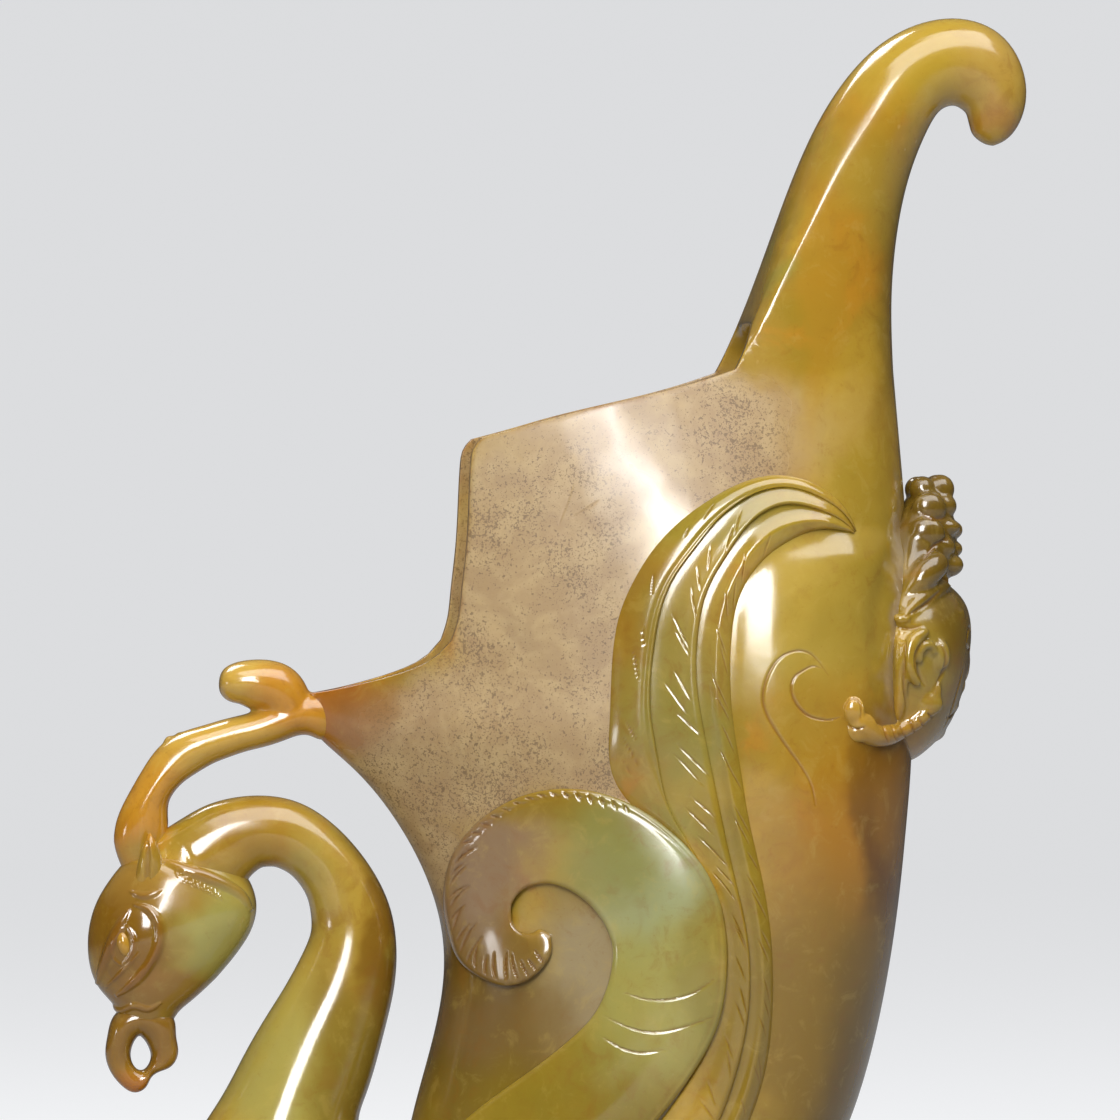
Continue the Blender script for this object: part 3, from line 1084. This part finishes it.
def push(builder, amount, crease=None):
    """Moves every point along its normal by so many millimetres and notes the crease there."""
    builder.normal_update()
    layer = builder.verts.layers.float[CREASE]
    for k, vertex in enumerate(builder.verts):
        vertex.co += vertex.normal * (float(amount[k]) * MM)
        if crease is not None:
            vertex[layer] = max(vertex[layer], float(crease[k]))


trial = new_builder()
rod(trial, [(0.0, height, 4.0, height, 2.0, 0.0) for height in (0.0, 5.0, 10.0)], 24, 8)
close_up(trial)
print("a trial rod, 4 mm thick and 10 mm long, holds", round(trial.calc_volume() / MM ** 3, 1), "cubic mm")
trial.free()

# %% The neck and the breast
NECK = pixel_rows([
    (131, 863, 246, 884, 4.4, 0.0), (150, 840, 249, 877, 4.5, 0.0), (178, 820, 259, 868, 4.4, 0.0),
    (205, 805, 266, 866, 4.25, 0.0), (233, 797, 273, 866, 4.2, 0.0), (264, 795, 280, 868, 4.2, 0.0),
    (296, 801, 289, 873, 4.2, 0.0), (326, 818, 298, 882, 4.3, 0.0), (354, 845, 306, 895, 4.4, 0.0),
    (377, 878, 310, 910, 4.6, 0.0), (391, 912, 311, 927, 4.8, 0.0), (396, 948, 307, 942, 5.1, 0.0),
    (394, 984, 298, 961, 5.5, 0.0), (386, 1022, 283, 988, 6.0, 0.0), (376, 1060, 263, 1020, 6.8, 0.0),
    (366, 1092, 243, 1055, 7.7, 0.0), (358, 1122, 222, 1094, 8.7, 0.0),
])
BREAST = [
    (-22.6, 37.2, -43.8, 38.8, 10.0, 0.0), (-18.5, 34.8, -46.7, 32.4, 12.2, 0.0),
    (-11.0, 32.6, -47.7, 25.4, 13.9, 0.0), (-4.0, 29.4, -45.8, 18.8, 14.7, 0.0),
    (1.0, 25.0, -41.2, 13.6, 14.6, 0.0), (4.0, 19.5, -34.4, 9.8, 13.2, 0.0),
    (5.0, 14.2, -26.0, 7.8, 11.0, 0.0), (3.0, 10.5, -15.0, 8.0, 7.0, 0.0),
]
neck = new_builder()
rod(neck, NECK + BREAST, 120, 420)
throat = strokes(*as_seen(neck), [seen([(186, 842), (196, 862), (206, 874)])], 0.5)
push(neck, -0.12 * throat)
finish_piece("neck_and_breast", neck, JADES["jade_olive"], ["neck", "breast"])

# %% [markdown]
# The head is carved closely: a fold where the cheek swells out of the neck, with a fringe of tiny
# cuts under it, a long slanting eye in a socket, and a brow. All marks are drawn as the camera sees
# them and pressed into both sides of the head.

# %% The head
HEAD = pixel_rows([
    (160, 850, 205, 858, 1.5, 0.0), (142, 853, 226, 862, 3.4, 0.0), (126, 860, 243, 872, 4.9, 0.05),
    (111, 877, 252, 886, 5.8, 0.1), (98, 898, 256, 903, 6.4, 0.15), (90, 922, 253, 923, 6.6, 0.15),
    (88, 946, 242, 945, 6.3, 0.12), (91, 968, 224, 968, 5.7, 0.08), (99, 986, 205, 987, 4.9, 0.0),
    (110, 999, 189, 1001, 4.0, 0.0), (116, 1009, 178, 1011, 3.3, 0.0), (117, 1018, 172, 1020, 2.7, 0.0),
    (123, 1028, 164, 1029, 1.2, 0.0),
])
SOCKET = [(139, 902), (151, 906), (161, 918), (163, 936), (153, 961), (138, 979), (120, 992)]
SOCKET_FRONT = [(132, 908), (120, 930), (110, 953), (100, 981)]
CHEEK_FOLD = [(163, 858), (176, 862), (188, 867), (203, 872), (218, 878), (234, 886), (245, 895), (252, 907)]
BROW_FOLD = [(134, 889), (148, 893), (163, 888)]
JAW_FOLD = [(112, 1003), (124, 1008), (137, 1003), (149, 1006), (163, 1000)]
LID_LINES = [
    [(131, 922), (119, 941), (118, 955), (126, 962)], [(131, 922), (138, 935), (136, 950), (126, 962)],
    [(108, 985), (120, 974), (133, 961), (143, 949)], [(127, 985), (138, 974), (147, 962)],
]
FRINGE_CUTS = 13

head = new_builder()
rod(head, HEAD, 300, 250)
x, z = as_seen(head)
fringe = [seen([(column + 3.6 * k, row + slope * k)
                for column, row, slope in ((179, 866, 1.75), (180, 872, 1.75), (183, 877, 1.8))])
          for k in range(FRINGE_CUTS)]
socket = strokes(x, z, [seen(SOCKET), seen(SOCKET_FRONT)], 0.75)
cheek = strokes(x, z, [seen(CHEEK_FOLD)], 0.8)
folds = strokes(x, z, [seen(BROW_FOLD), seen(JAW_FOLD)], 0.55)
lids = strokes(x, z, [seen(line) for line in LID_LINES], 0.3)
cuts = strokes(x, z, fringe, 0.13)
eye_x, eye_z = seen([(133, 944)])[0]
bowl = np.clip(1 - ((x - eye_x) / 3.2) ** 2 - ((z - eye_z) / 5.0) ** 2, 0, 1)
cheek_x, cheek_z = seen([(206, 925)])[0]
puff = np.clip(1 - ((x - cheek_x) / 5.4) ** 2 - ((z - cheek_z) / 6.4) ** 2, 0, 1)
push(head, -0.45 * socket - 0.5 * cheek - 0.3 * folds - 0.2 * lids - 0.16 * cuts - 0.35 * bowl ** 0.8
     + 0.35 * puff, np.clip(0.6 * socket + 0.7 * cheek + 0.4 * folds + 0.5 * lids + 0.3 * cuts, 0, 1))
finish_piece("bird_head", head, JADES["jade_pale"], ["head"])

# %% [markdown]
# The beak is closed round a small drop-shaped hole. So it is laid as a ring: the grid's one way runs
# round the hole and the other round the ring's own section, which is thick at the head and thin at
# the tip.

# %% The beak round its hole
BEAK_OUTLINE = [(146, 1003), (163, 1006), (174, 1018), (176, 1035), (178, 1050), (176, 1058), (169, 1066),
                (157, 1071), (151, 1076), (146, 1085), (135, 1090.5), (121, 1083), (111, 1070.5),
                (105.6, 1054),
                (107.5, 1034), (114, 1014), (128, 1004), (146, 1003)]
HOLE_OUTLINE = [(140.5, 1034.5), (144, 1038), (147.5, 1043.5), (150, 1050), (150.6, 1055), (149.5, 1060),
                (147, 1064.5), (143.5, 1067.5), (140, 1068), (136.5, 1066.5), (133.5, 1063), (131.3, 1058),
                (130.6, 1052), (131.6, 1046), (133.6, 1040.5), (136.4, 1036.2), (138.6, 1034.4),
                (140.5, 1034.5)]
BEAK_THICK, BEAK_THIN, BEAK_THINS_AT, BEAK_THINS_OVER = 3.0, 1.7, 46, 8

beak_outer, beak_inner = smooth_curve(seen(BEAK_OUTLINE)), smooth_curve(seen(HOLE_OUTLINE))


def beak_place(u, v):
    """A point of the ring: u round its own section, v round the hole."""
    rim, hole = beak_outer(v), beak_inner(v)
    angle = 2 * math.pi * u
    across = 0.5 + 0.5 * np.cos(angle)
    x, z = np.moveaxis(hole + (rim - hole) * across[:, None], -1, 0)
    thick = BEAK_THIN + (BEAK_THICK - BEAK_THIN) * ease((z - BEAK_THINS_AT) / BEAK_THINS_OVER)
    return points(x, thick * np.sign(np.sin(angle)) * np.abs(np.sin(angle)) ** 0.8, z)


beak = new_builder()
bent_grid(beak, 48, 200, beak_place)
bmesh.ops.remove_doubles(beak, verts=beak.verts, dist=WELD)
parting = strokes(*as_seen(beak), [seen([(152, 1070), (157, 1062), (161, 1052), (162, 1040)])], 0.35)
push(beak, -0.15 * parting, 0.6 * parting)
finish_piece("bird_beak", beak, JADES["jade_amber"], ["beak"])

# %% [markdown]
# Where rods of the same stone meet, the carver leaves a soft hollow, never a seam. The lumps are
# fused into one skin by a fine remesh and then rubbed a few times, as with sand.

# %% Fusing lumps of one stone
def lump(builder, centre, reach, tilt=0.0, turn=0.0):
    """An egg of stone: centre and half sizes in mm, tilted in the side view, turned about the vertical."""
    grown = Matrix.Diagonal((*[r * MM for r in reach], 1))
    matrix = (Matrix.Translation(Vector(centre) * MM) @ Matrix.Rotation(math.radians(turn), 4, "Z")
              @ Matrix.Rotation(math.radians(tilt), 4, "Y") @ grown)
    bmesh.ops.create_uvsphere(builder, u_segments=32, v_segments=20, radius=1.0, matrix=matrix)


def fused(builder, grain, rubs):
    """One skin over overlapping lumps, smoothed."""
    close_up(builder)
    mesh = bpy.data.meshes.new("lumps")
    builder.to_mesh(mesh)
    builder.free()
    block = bpy.data.objects.new("lumps", mesh)
    bpy.context.collection.objects.link(block)
    melting = block.modifiers.new("fuse", "REMESH")
    melting.mode, melting.voxel_size = "VOXEL", grain * MM
    skin = bpy.data.meshes.new_from_object(block.evaluated_get(bpy.context.evaluated_depsgraph_get()))
    bpy.data.objects.remove(block)
    result = bmesh.new()
    result.from_mesh(skin)
    if CREASE not in result.verts.layers.float.keys():
        result.verts.layers.float.new(CREASE)
    for _ in range(rubs):
        bmesh.ops.smooth_vert(result, verts=result.verts, factor=0.5,
                              use_axis_x=True, use_axis_y=True, use_axis_z=True)
    return result


trial = new_builder()
lump(trial, (0, 0, 0), (2.0, 2.0, 2.0))
lump(trial, (2.5, 0, 0), (2.0, 2.0, 2.0))
trial = fused(trial, 0.4, 2)
print("two eggs fused:", len(trial.faces), "faces,", round(trial.calc_volume() / MM ** 3, 1), "cubic mm")
trial.free()

# %% The crest
PLUME = pixel_rows([
    (124, 872, 168, 868, 2.0, 0.0), (115, 848, 166, 846, 2.5, 0.0), (114, 832, 168, 826, 2.8, 0.0),
    (119, 812, 168, 806, 2.9, 0.0), (130, 790, 173, 793, 2.9, 0.0), (144, 766, 184, 781, 2.9, 0.0),
    (160, 745, 199, 771, 2.9, 0.0), (180, 732, 213, 763, 3.0, 0.0), (202, 725, 228, 757, 3.0, 0.0),
    (226, 718, 246, 751, 3.0, 0.0), (250, 712, 266, 746, 3.1, 0.0), (276, 702, 287, 739, 3.1, 0.0),
    (300, 694, 308, 735, 3.0, 0.0), (318, 692, 322, 740, 2.7, 0.0), (334, 700, 337, 732, 1.9, 0.0),
])
LOBE = pixel_rows([
    (314, 724, 276, 726, 2.6, 0.0), (311, 700, 262, 712, 3.1, 0.0), (303, 680, 256, 709, 3.4, 0.0),
    (287, 665, 248, 708, 3.6, 0.0), (268, 659.5, 240, 704, 3.6, 0.0), (249, 659.5, 231, 702, 3.4, 0.0),
    (234, 662.5, 224, 698, 3.0, 0.0), (224, 668, 219.5, 692, 2.3, 0.0), (219.5, 676, 218.5, 684, 1.0, 0.0),
])
crest = new_builder()
rod(crest, PLUME, 40, 120)
rod(crest, LOBE, 40, 70)
for spot, size in (((170, 741), 0.75), ((180, 736), 0.6), ((205, 728), 0.45)):
    x, z = seen([spot])[0]
    lump(crest, (x, 0.6, z), (size, size * 1.4, size))
crest = fused(crest, 0.24, 7)
finish_piece("crest", crest, JADES["jade_amber"], ["crest_plume", "crest_tip"])

# %% [markdown]
# The small parts of the head: an almond eyeball under its lids, and a pointed ear with a groove down
# the middle, so that it shows two bright stripes.

# %% Eyes and ears of the bird
EYE_SPOT, EYE_REACH, EYE_TILT, EYE_OUT = (126, 941), (0.85, 0.9, 1.55), -14, 5.0
EAR_OUT, EAR_ROOT_OUT, EAR_ROOT_HEIGHT, EAR_SPLAY = 3.6, 3.1, 68, 0.16
EAR = pixel_rows([
    (143, 893, 158, 893, 1.0, 0.0), (137, 884, 163, 884, 1.3, 0.0), (137, 872, 164, 872, 1.5, 0.0),
    (139, 860, 163, 859, 1.5, 0.0), (142, 848, 160, 847, 1.3, 0.0), (146, 838, 156, 837, 0.9, 0.0),
    (149, 831.5, 152, 831, 0.2, 0.0),
])


def moved_square(rows, out):
    """Rod rows drawn as the camera sees them, moved back by how far out from the middle they lie."""
    shift = out * math.sin(VIEW_TURN)
    return [(row[0] - shift, row[1], row[2] - shift, row[3], *row[4:]) for row in rows]


eye = new_builder()
x, z = seen([EYE_SPOT])[0]
lump(eye, (x - EYE_OUT * math.sin(VIEW_TURN), -EYE_OUT, z), EYE_REACH, EYE_TILT)
ear = new_builder()
rod(ear, moved_square(EAR, EAR_OUT), 64, 90)
for vertex in ear.verts:
    vertex.co.y -= (EAR_ROOT_OUT + EAR_SPLAY * np.clip(vertex.co.z / MM - EAR_ROOT_HEIGHT, 0, 6)) * MM
groove = strokes(*as_seen(ear), [seen([(150, 886), (150.5, 868), (150.8, 850), (150.5, 840)])], 0.55)
push(ear, -0.42 * groove, 0.5 * groove)
finish_pair("bird_eye", eye, "jade_amber", "eye")
finish_pair("bird_ear", ear, "jade_amber", "ear")

# %% [markdown]
# The foot is a low oval ring turned out under the cup, with a rounded lower edge.

# %% The foot
FOOT_LENGTH, FOOT_WIDTH, FOOT_HEIGHT = 18.0, 12.5, 6.6
FOOT_PROFILE = [(0.62, 0.0), (0.9, 0.0), (0.965, 0.25), (0.995, 1.0), (1.0, 1.7), (0.985, 2.6),
                (0.93, 3.8), (0.84, 4.9), (0.74, 5.8), (0.66, FOOT_HEIGHT), (0.5, FOOT_HEIGHT)]
foot_profile = smooth_curve(FOOT_PROFILE, np.linspace(0, 1, len(FOOT_PROFILE)))


def foot_place(u, v):
    """A point of the foot: u round it, v up its profile."""
    reach, height = np.moveaxis(foot_profile(v), -1, 0)
    angle = 2 * math.pi * u
    return points(FOOT_LENGTH * reach * np.cos(angle), FOOT_WIDTH * reach * np.sin(angle), height)


foot = new_builder()
bent_grid(foot, 128, 48, foot_place)
finish_piece("foot_ring", foot, JADES["jade_olive"], ["foot"])

# %% [markdown]
# A small beast's mask clings to the back of the cup. It is built as a carver roughs it out: a large
# smooth face, a crown of mane above it with knobs along its back, and locks, an ear rolled like a C
# and a rope-like arm laid over the sides. Each lock is drawn where the camera sees it and is set on
# the skin below, so it stands out by the same little amount all along. All lumps are then fused.

# %% Outlines of the beast's mask
FACE = [
    (45.2, 106.0, 38.0, 105.6, 4.5, 0.3), (47.4, 104.6, 37.2, 104.0, 8.2, 0.35),
    (49.0, 102.6, 36.8, 101.8, 10.2, 0.4), (49.6, 99.8, 36.5, 99.4, 11.4, 0.45),
    (49.4, 96.6, 36.4, 96.4, 11.9, 0.5), (48.8, 93.2, 36.4, 93.2, 11.9, 0.5),
    (47.8, 90.0, 36.6, 90.2, 11.2, 0.48), (46.3, 87.3, 37.0, 87.6, 9.6, 0.42),
    (44.4, 85.3, 37.6, 85.6, 7.2, 0.35), (42.4, 83.9, 38.8, 84.4, 3.6, 0.3),
    (41.0, 83.6, 40.0, 83.8, 1.0, 0.2),
]
CROWN = [
    (44.6, 118.0, 42.8, 117.6, 1.0, 0.0), (46.0, 116.8, 42.2, 116.0, 3.4, 0.0),
    (47.3, 114.2, 40.2, 113.2, 5.4, 0.1), (47.7, 111.4, 38.6, 110.6, 6.8, 0.15),
    (47.7, 108.6, 38.0, 108.0, 7.8, 0.2), (46.9, 105.8, 37.6, 105.2, 8.8, 0.25),
    (45.0, 103.6, 38.0, 103.0, 7.4, 0.25),
]
# Knobs of the mane: place in the photograph's pixels, distance from the middle, half sizes in mm
KNOBS = [
    ((924, 489), 2.2, (1.6, 1.8, 1.6)), ((942, 489), 1.2, (1.8, 2.0, 1.8)),
    ((944, 506), 2.2, (1.8, 1.9, 1.6)), ((930, 508), 4.4, (2.1, 1.3, 1.9)),
    ((953, 530), 1.0, (1.5, 1.9, 1.2)), ((946, 527), 3.2, (2.0, 1.7, 1.1)),
    ((943, 547), 4.6, (1.7, 1.5, 1.4)), ((953, 549), 0.9, (1.5, 1.9, 1.1)),
    ((949, 565), 2.8, (2.0, 2.0, 1.5)), ((928, 533), 6.0, (2.2, 1.1, 1.9)),
]
# Locks laid on the skin: a line in the photograph's pixels, radii in mm, how far they stand out
LOCKS = {
    "temple": ([(899, 612), (908, 594), (918, 581), (929, 569), (941, 559)], [0.5, 1.0, 1.5, 1.8, 1.3], 0.1),
    "brow": ([(901, 619), (917, 601), (933, 590), (946, 581)], [0.5, 1.1, 1.5, 1.0], -0.1),
    "leaf": ([(891, 615), (899, 619), (908, 617)], [0.35, 0.65, 0.35], 0.3),
    "ear": ([(927, 630), (917, 634), (909, 643), (906, 656), (909, 672), (917, 686)],
            [0.4, 0.8, 0.95, 0.95, 0.8, 0.4], 0.75),
    "ear curl": ([(919, 663), (917, 652), (922, 645), (930, 646), (932, 655)],
                 [0.3, 0.5, 0.6, 0.5, 0.3], 0.4),
    "side strip": ([(897, 637), (898, 655), (899, 672), (898, 690), (897, 706), (895, 720)],
                   [0.4, 0.8, 0.9, 0.8, 0.75, 0.5], 0.05),
    "arm": ([(937, 682), (931, 702), (919, 717), (901, 728), (883, 734), (868, 732), (857, 722), (851, 711)],
            [0.5, 0.8, 0.95, 1.1, 1.3, 1.35, 1.5, 1.3], 0.1),
}
# Small lumps on the side, placed as the locks are: pixel, half sizes, how far they stand out
SIDE_LUMPS = [((850, 708), (1.4, 1.0, 1.7), 0.3), ((855, 725), (2.3, 1.0, 1.9), 0.0),
              ((938, 655), (1.3, 1.0, 2.0), -0.2), ((926, 703), (1.9, 1.0, 1.5), -0.3)]
# The front of the face, in mm: eyes, brows, nose, nostrils, muzzle, chin
FRONT_LUMPS = [((47.7, 3.4, 98.6), (1.3, 1.7, 1.2)), ((47.0, 3.8, 101.6), (1.6, 2.8, 0.9)),
               ((48.6, 0.0, 96.0), (1.0, 1.3, 2.9)), ((47.6, 1.9, 93.0), (1.2, 1.4, 1.3)),
               ((46.3, 2.6, 90.6), (1.6, 2.6, 1.2)), ((44.9, 0.0, 87.6), (1.7, 3.4, 1.5))]
print("each half of the mask takes", len(KNOBS + SIDE_LUMPS + FRONT_LUMPS), "lumps and", len(LOCKS), "locks")

# %% [markdown]
# A lock is a round cord that is thin at its ends. Its places are found by asking how far out the
# face, the crown and the cup lie where the camera sees it, and by taking the outermost of them.

# %% Building the mask
CORD_AROUND, CORD_ALONG = 16, 90
MASK_GRAIN, MASK_RUBS = 0.2, 8


def cord(builder, path, thickness):
    """A round tube through points in mm, thick or thin after a list of radii."""
    line = smooth_curve(path)
    radius = smooth_curve([[r] for r in thickness], np.linspace(0, 1, len(thickness)))

    def place(u, v):
        here, ahead, behind = line(v), line(np.minimum(v + 0.01, 1)), line(np.maximum(v - 0.01, 0))
        run = (ahead - behind) / np.linalg.norm(ahead - behind, axis=-1, keepdims=True)
        level = np.cross(run, np.array([0.12, 0.31, 0.94]))
        level /= np.linalg.norm(level, axis=-1, keepdims=True)
        upright = np.cross(level, run)
        end = np.sqrt(np.clip(np.sin(math.pi * np.clip(v, 0, 1)) * 6, 0, 1))
        r = (radius(v)[..., 0] * end)[:, None]
        angle = (2 * math.pi * u)[:, None]
        return here + r * (np.cos(angle) * level + np.sin(angle) * upright)

    bent_grid(builder, CORD_AROUND, CORD_ALONG, place)


def rod_side(rows, x, z):
    """How far out the side of a rod lies at a place of the side view."""
    table = smooth_curve(rows)(np.linspace(0, 1, 200))
    row = table[np.argmin(np.abs((table[:, 1] + table[:, 3]) / 2 - z))]
    first, second, half, broad = row[0], row[2], row[4], row[5]
    lean = 2 * (x - first) / (second - first) - 1 - broad
    turn = lean / (1 - broad if lean > 0 else 1 + broad)
    return half * math.sqrt(max(1 - turn ** 2, 0))


def laid_on(pixel, out):
    """A place that the camera sees, as a point on the near side of the mask or the cup."""
    (seen_x, z), = seen([pixel])
    x = seen_x
    for _ in range(5):
        y = max(rod_side(FACE, x, z), rod_side(CROWN, x, z), float(cup_side(np.array([x]), np.array([z]))[0]))
        x = (seen_x - y * math.sin(VIEW_TURN)) / math.cos(VIEW_TURN)
    return x, y + out, z


mask = new_builder()
rod(mask, FACE, 64, 60)
rod(mask, CROWN, 48, 50)
for pixel, away, reach in KNOBS:
    x, z = seen([pixel])[0]
    for way in (-1, 1):
        lump(mask, (x - away * math.sin(VIEW_TURN), way * away, z), reach)
for line, radii, out in LOCKS.values():
    for way in (-1, 1):
        path = [(x, way * y, z) for x, y, z in (laid_on(pixel, out) for pixel in line)]
        cord(mask, path, radii)
for (x, y, z), reach in [(laid_on(pixel, out), reach) for pixel, reach, out in SIDE_LUMPS] + FRONT_LUMPS:
    for way in (-1, 1):
        lump(mask, (x, way * y, z), reach)
mask = fused(mask, MASK_GRAIN, MASK_RUBS)
print("the mask is one skin of", len(mask.faces), "faces")

# %% [markdown]
# The finer lines are pressed in afterwards: the folds between the locks, the claws on the arm, and
# the mouth in front.

# %% The mask's fine lines
MASK_LINES = [
    [(903, 616), (920, 607), (940, 590)], [(893, 626), (905, 628), (918, 626)],
    [(903, 640), (901, 668), (904, 704)], [(925, 638), (915, 650), (914, 668), (922, 684)],
    [(935, 640), (944, 655), (941, 672), (934, 684)],
    [(921, 560), (935, 545), (948, 538)], [(918, 510), (930, 518), (946, 518)],
    [(941, 578), (950, 582), (958, 592)],
]
CLAW_CUTS = [[(880 + 9 * k, 724 - 0.5 * k * k), (886 + 9 * k, 740 - 0.9 * k * k)] for k in range(6)]
KNOB_LINES = [[(841, 708), (845, 698), (853, 697), (858, 706), (857, 717)],
              [(843, 720), (851, 727), (862, 725)]]
x, z = as_seen(mask)
forward, away, up = placed(mask.verts, lambda vertex: vertex.co)
on_side = ease((away - 3.5) / 1.5)
fine = strokes(x, z, [seen(line) for line in MASK_LINES], 0.3) * on_side
claws = strokes(x, z, [seen(line) for line in CLAW_CUTS + KNOB_LINES], 0.2) * on_side
front_lines = strokes(away, up, [
    [(0.2, 104.0), (0.2, 100.4)], [(1.3, 98.2), (2.6, 99.8), (4.6, 99.6), (5.6, 98.2)],
    [(1.6, 97.9), (3.2, 97.2), (5.4, 97.8)], [(0.0, 91.6), (1.6, 91.2), (4.2, 89.4), (6.4, 89.2)],
    [(2.9, 94.2), (3.2, 92.8), (2.2, 91.6)], [(5.6, 95.0), (6.2, 91.8), (5.0, 87.8)]], 0.3)
front_lines = front_lines * ease(forward - 45.0)
marks = np.maximum(np.maximum(fine, claws), front_lines)
push(mask, -0.25 * marks, 0.7 * marks)
paired = ["mask_ear", "mask_paw", *[f"mane_curl_{k}" for k in (1, 2, 3, 4)]]
regions = [f"{part}_{side_name}" for side_name in ("left", "right") for part in paired]
finish_piece("beast_mask", mask, JADES["jade_olive"], ["mask_head", "mask_crown", *regions])

# %% [markdown]
# The cup stands on pale paper that rises in a wide, round sweep behind it, so no edge shows. The
# sweep is one profile spun about the vertical, so the cup can be looked at from every side. A
# photographer lights the paper apart from the stone, so that it is pale while the polish stays deep.
# Here the paper glows a little for the lens alone.

# %% The stage
SWEEP_FLAT, SWEEP_RISE, SWEEP_STEPS = 2.2, 1.6, 96
PAPER, PAPER_ROUGHNESS, PAPER_GLOW, DAYLIGHT = (0.3, 0.303, 0.306, 1), 0.9, 0.68, (0.97, 0.98, 1.0, 1)
sweep = bmesh.new()
profile = [(0.0, 0.0), (SWEEP_FLAT, 0.0)]
profile += [(SWEEP_FLAT + SWEEP_RISE * math.sin(turn), SWEEP_RISE * (1 - math.cos(turn)))
            for turn in np.linspace(0, math.pi / 2, 13)[1:]]
corners = [sweep.verts.new((x, 0, z)) for x, z in profile]
edges = [sweep.edges.new(pair) for pair in zip(corners, corners[1:])]
bmesh.ops.spin(sweep, geom=corners + edges, cent=(0, 0, 0), axis=(0, 0, 1), angle=2 * math.pi,
               steps=SWEEP_STEPS, use_merge=True)
bmesh.ops.remove_doubles(sweep, verts=sweep.verts, dist=MM)
bmesh.ops.recalc_face_normals(sweep, faces=sweep.faces)
bmesh.ops.reverse_faces(sweep, faces=sweep.faces)
sweep_mesh = bpy.data.meshes.new("sweep")
sweep.to_mesh(sweep_mesh)
sweep_mesh.shade_smooth()
stage = bpy.data.objects.new("sweep", sweep_mesh)
bpy.context.collection.objects.link(stage)
paper = bpy.data.materials.new("pale_paper")
paper.use_nodes = True
paper_shader = paper.node_tree.nodes["Principled BSDF"]
for socket, value in (("Base Color", PAPER), ("Roughness", PAPER_ROUGHNESS), ("Emission Color", DAYLIGHT)):
    paper_shader.inputs[socket].default_value = value
lit_for_lens = add(paper.node_tree, "ShaderNodeLightPath").outputs["Is Camera Ray"]
glow = sum_up(paper.node_tree, "MULTIPLY", lit_for_lens, PAPER_GLOW)
paper.node_tree.links.new(glow, paper_shader.inputs["Emission Strength"])
sweep_mesh.materials.append(paper)
print("the sweep is", 2 * (SWEEP_FLAT + SWEEP_RISE), "m wide and", SWEEP_RISE, "m high")

# %% [markdown]
# A soft box hangs close to the camera, a little to the left and above it, and makes the broad
# highlights on the flank, the wing and the neck. A very broad one high on the right opens the shadows.
# A low one, far to the left, catches the edges that face the spout. A light behind and above draws the
# thin bright line along the rim. The picture's middle is what they all face.

# %% Lights
WORLD_LIGHT = 0.13
aim = Vector((0, 0, (TABLE_ROW - PHOTO_SIDE / 2) * PIXEL_SIZE * MM))


def soft_box(name, azimuth, elevation, distance, width, height, watts):
    """A rectangular light at an azimuth and elevation from the view direction, facing the cup."""
    light = bpy.data.lights.new(name, "AREA")
    light.shape = "RECTANGLE"
    light.size, light.size_y, light.energy = width, height, watts
    lamp = bpy.data.objects.new(name, light)
    turn, up = math.radians(azimuth) - VIEW_TURN, math.radians(elevation)
    away = Vector((math.sin(turn) * math.cos(up), -math.cos(turn) * math.cos(up), math.sin(up)))
    lamp.location = aim + away * distance
    lamp.rotation_euler = (aim - lamp.location).to_track_quat("-Z", "Y").to_euler()
    bpy.context.collection.objects.link(lamp)
    print(name, "gives", watts, "W from", distance, "m")


soft_box("near_box", -9, 22, 1.0, 0.3, 0.5, 7.6)
soft_box("top_fill", 30, 62, 1.0, 1.3, 0.8, 12)
soft_box("left_box", -66, -8, 1.0, 0.16, 0.3, 1.2)
soft_box("rim_light", -140, 50, 0.9, 0.35, 0.35, 3)
world = bpy.data.worlds.new("studio")
bpy.context.scene.world = world
world.use_nodes = True
world.node_tree.nodes["Background"].inputs["Color"].default_value = DAYLIGHT
world.node_tree.nodes["Background"].inputs["Strength"].default_value = WORLD_LIGHT

# %% [markdown]
# The camera stands 5 degrees ahead of square, level with the middle of the cup, far off with a long
# lens, as such pieces are photographed.

# %% Camera
DISTANCE, SENSOR = 1.2, 36.0
lens = bpy.data.cameras.new("camera")
lens.sensor_width = SENSOR
lens.lens = SENSOR * DISTANCE / (PHOTO_SIDE * PIXEL_SIZE * MM)
lens.clip_start, lens.clip_end = 0.05, 20
camera = bpy.data.objects.new("camera", lens)
camera.location = aim + Vector((-math.sin(VIEW_TURN), -math.cos(VIEW_TURN), 0)) * DISTANCE
camera.rotation_euler = (aim - camera.location).to_track_quat("-Z", "Y").to_euler()
bpy.context.collection.objects.link(camera)
bpy.context.scene.camera = camera
bpy.context.scene.view_settings.view_transform = "Standard"
print("the lens is", round(lens.lens), "mm long")
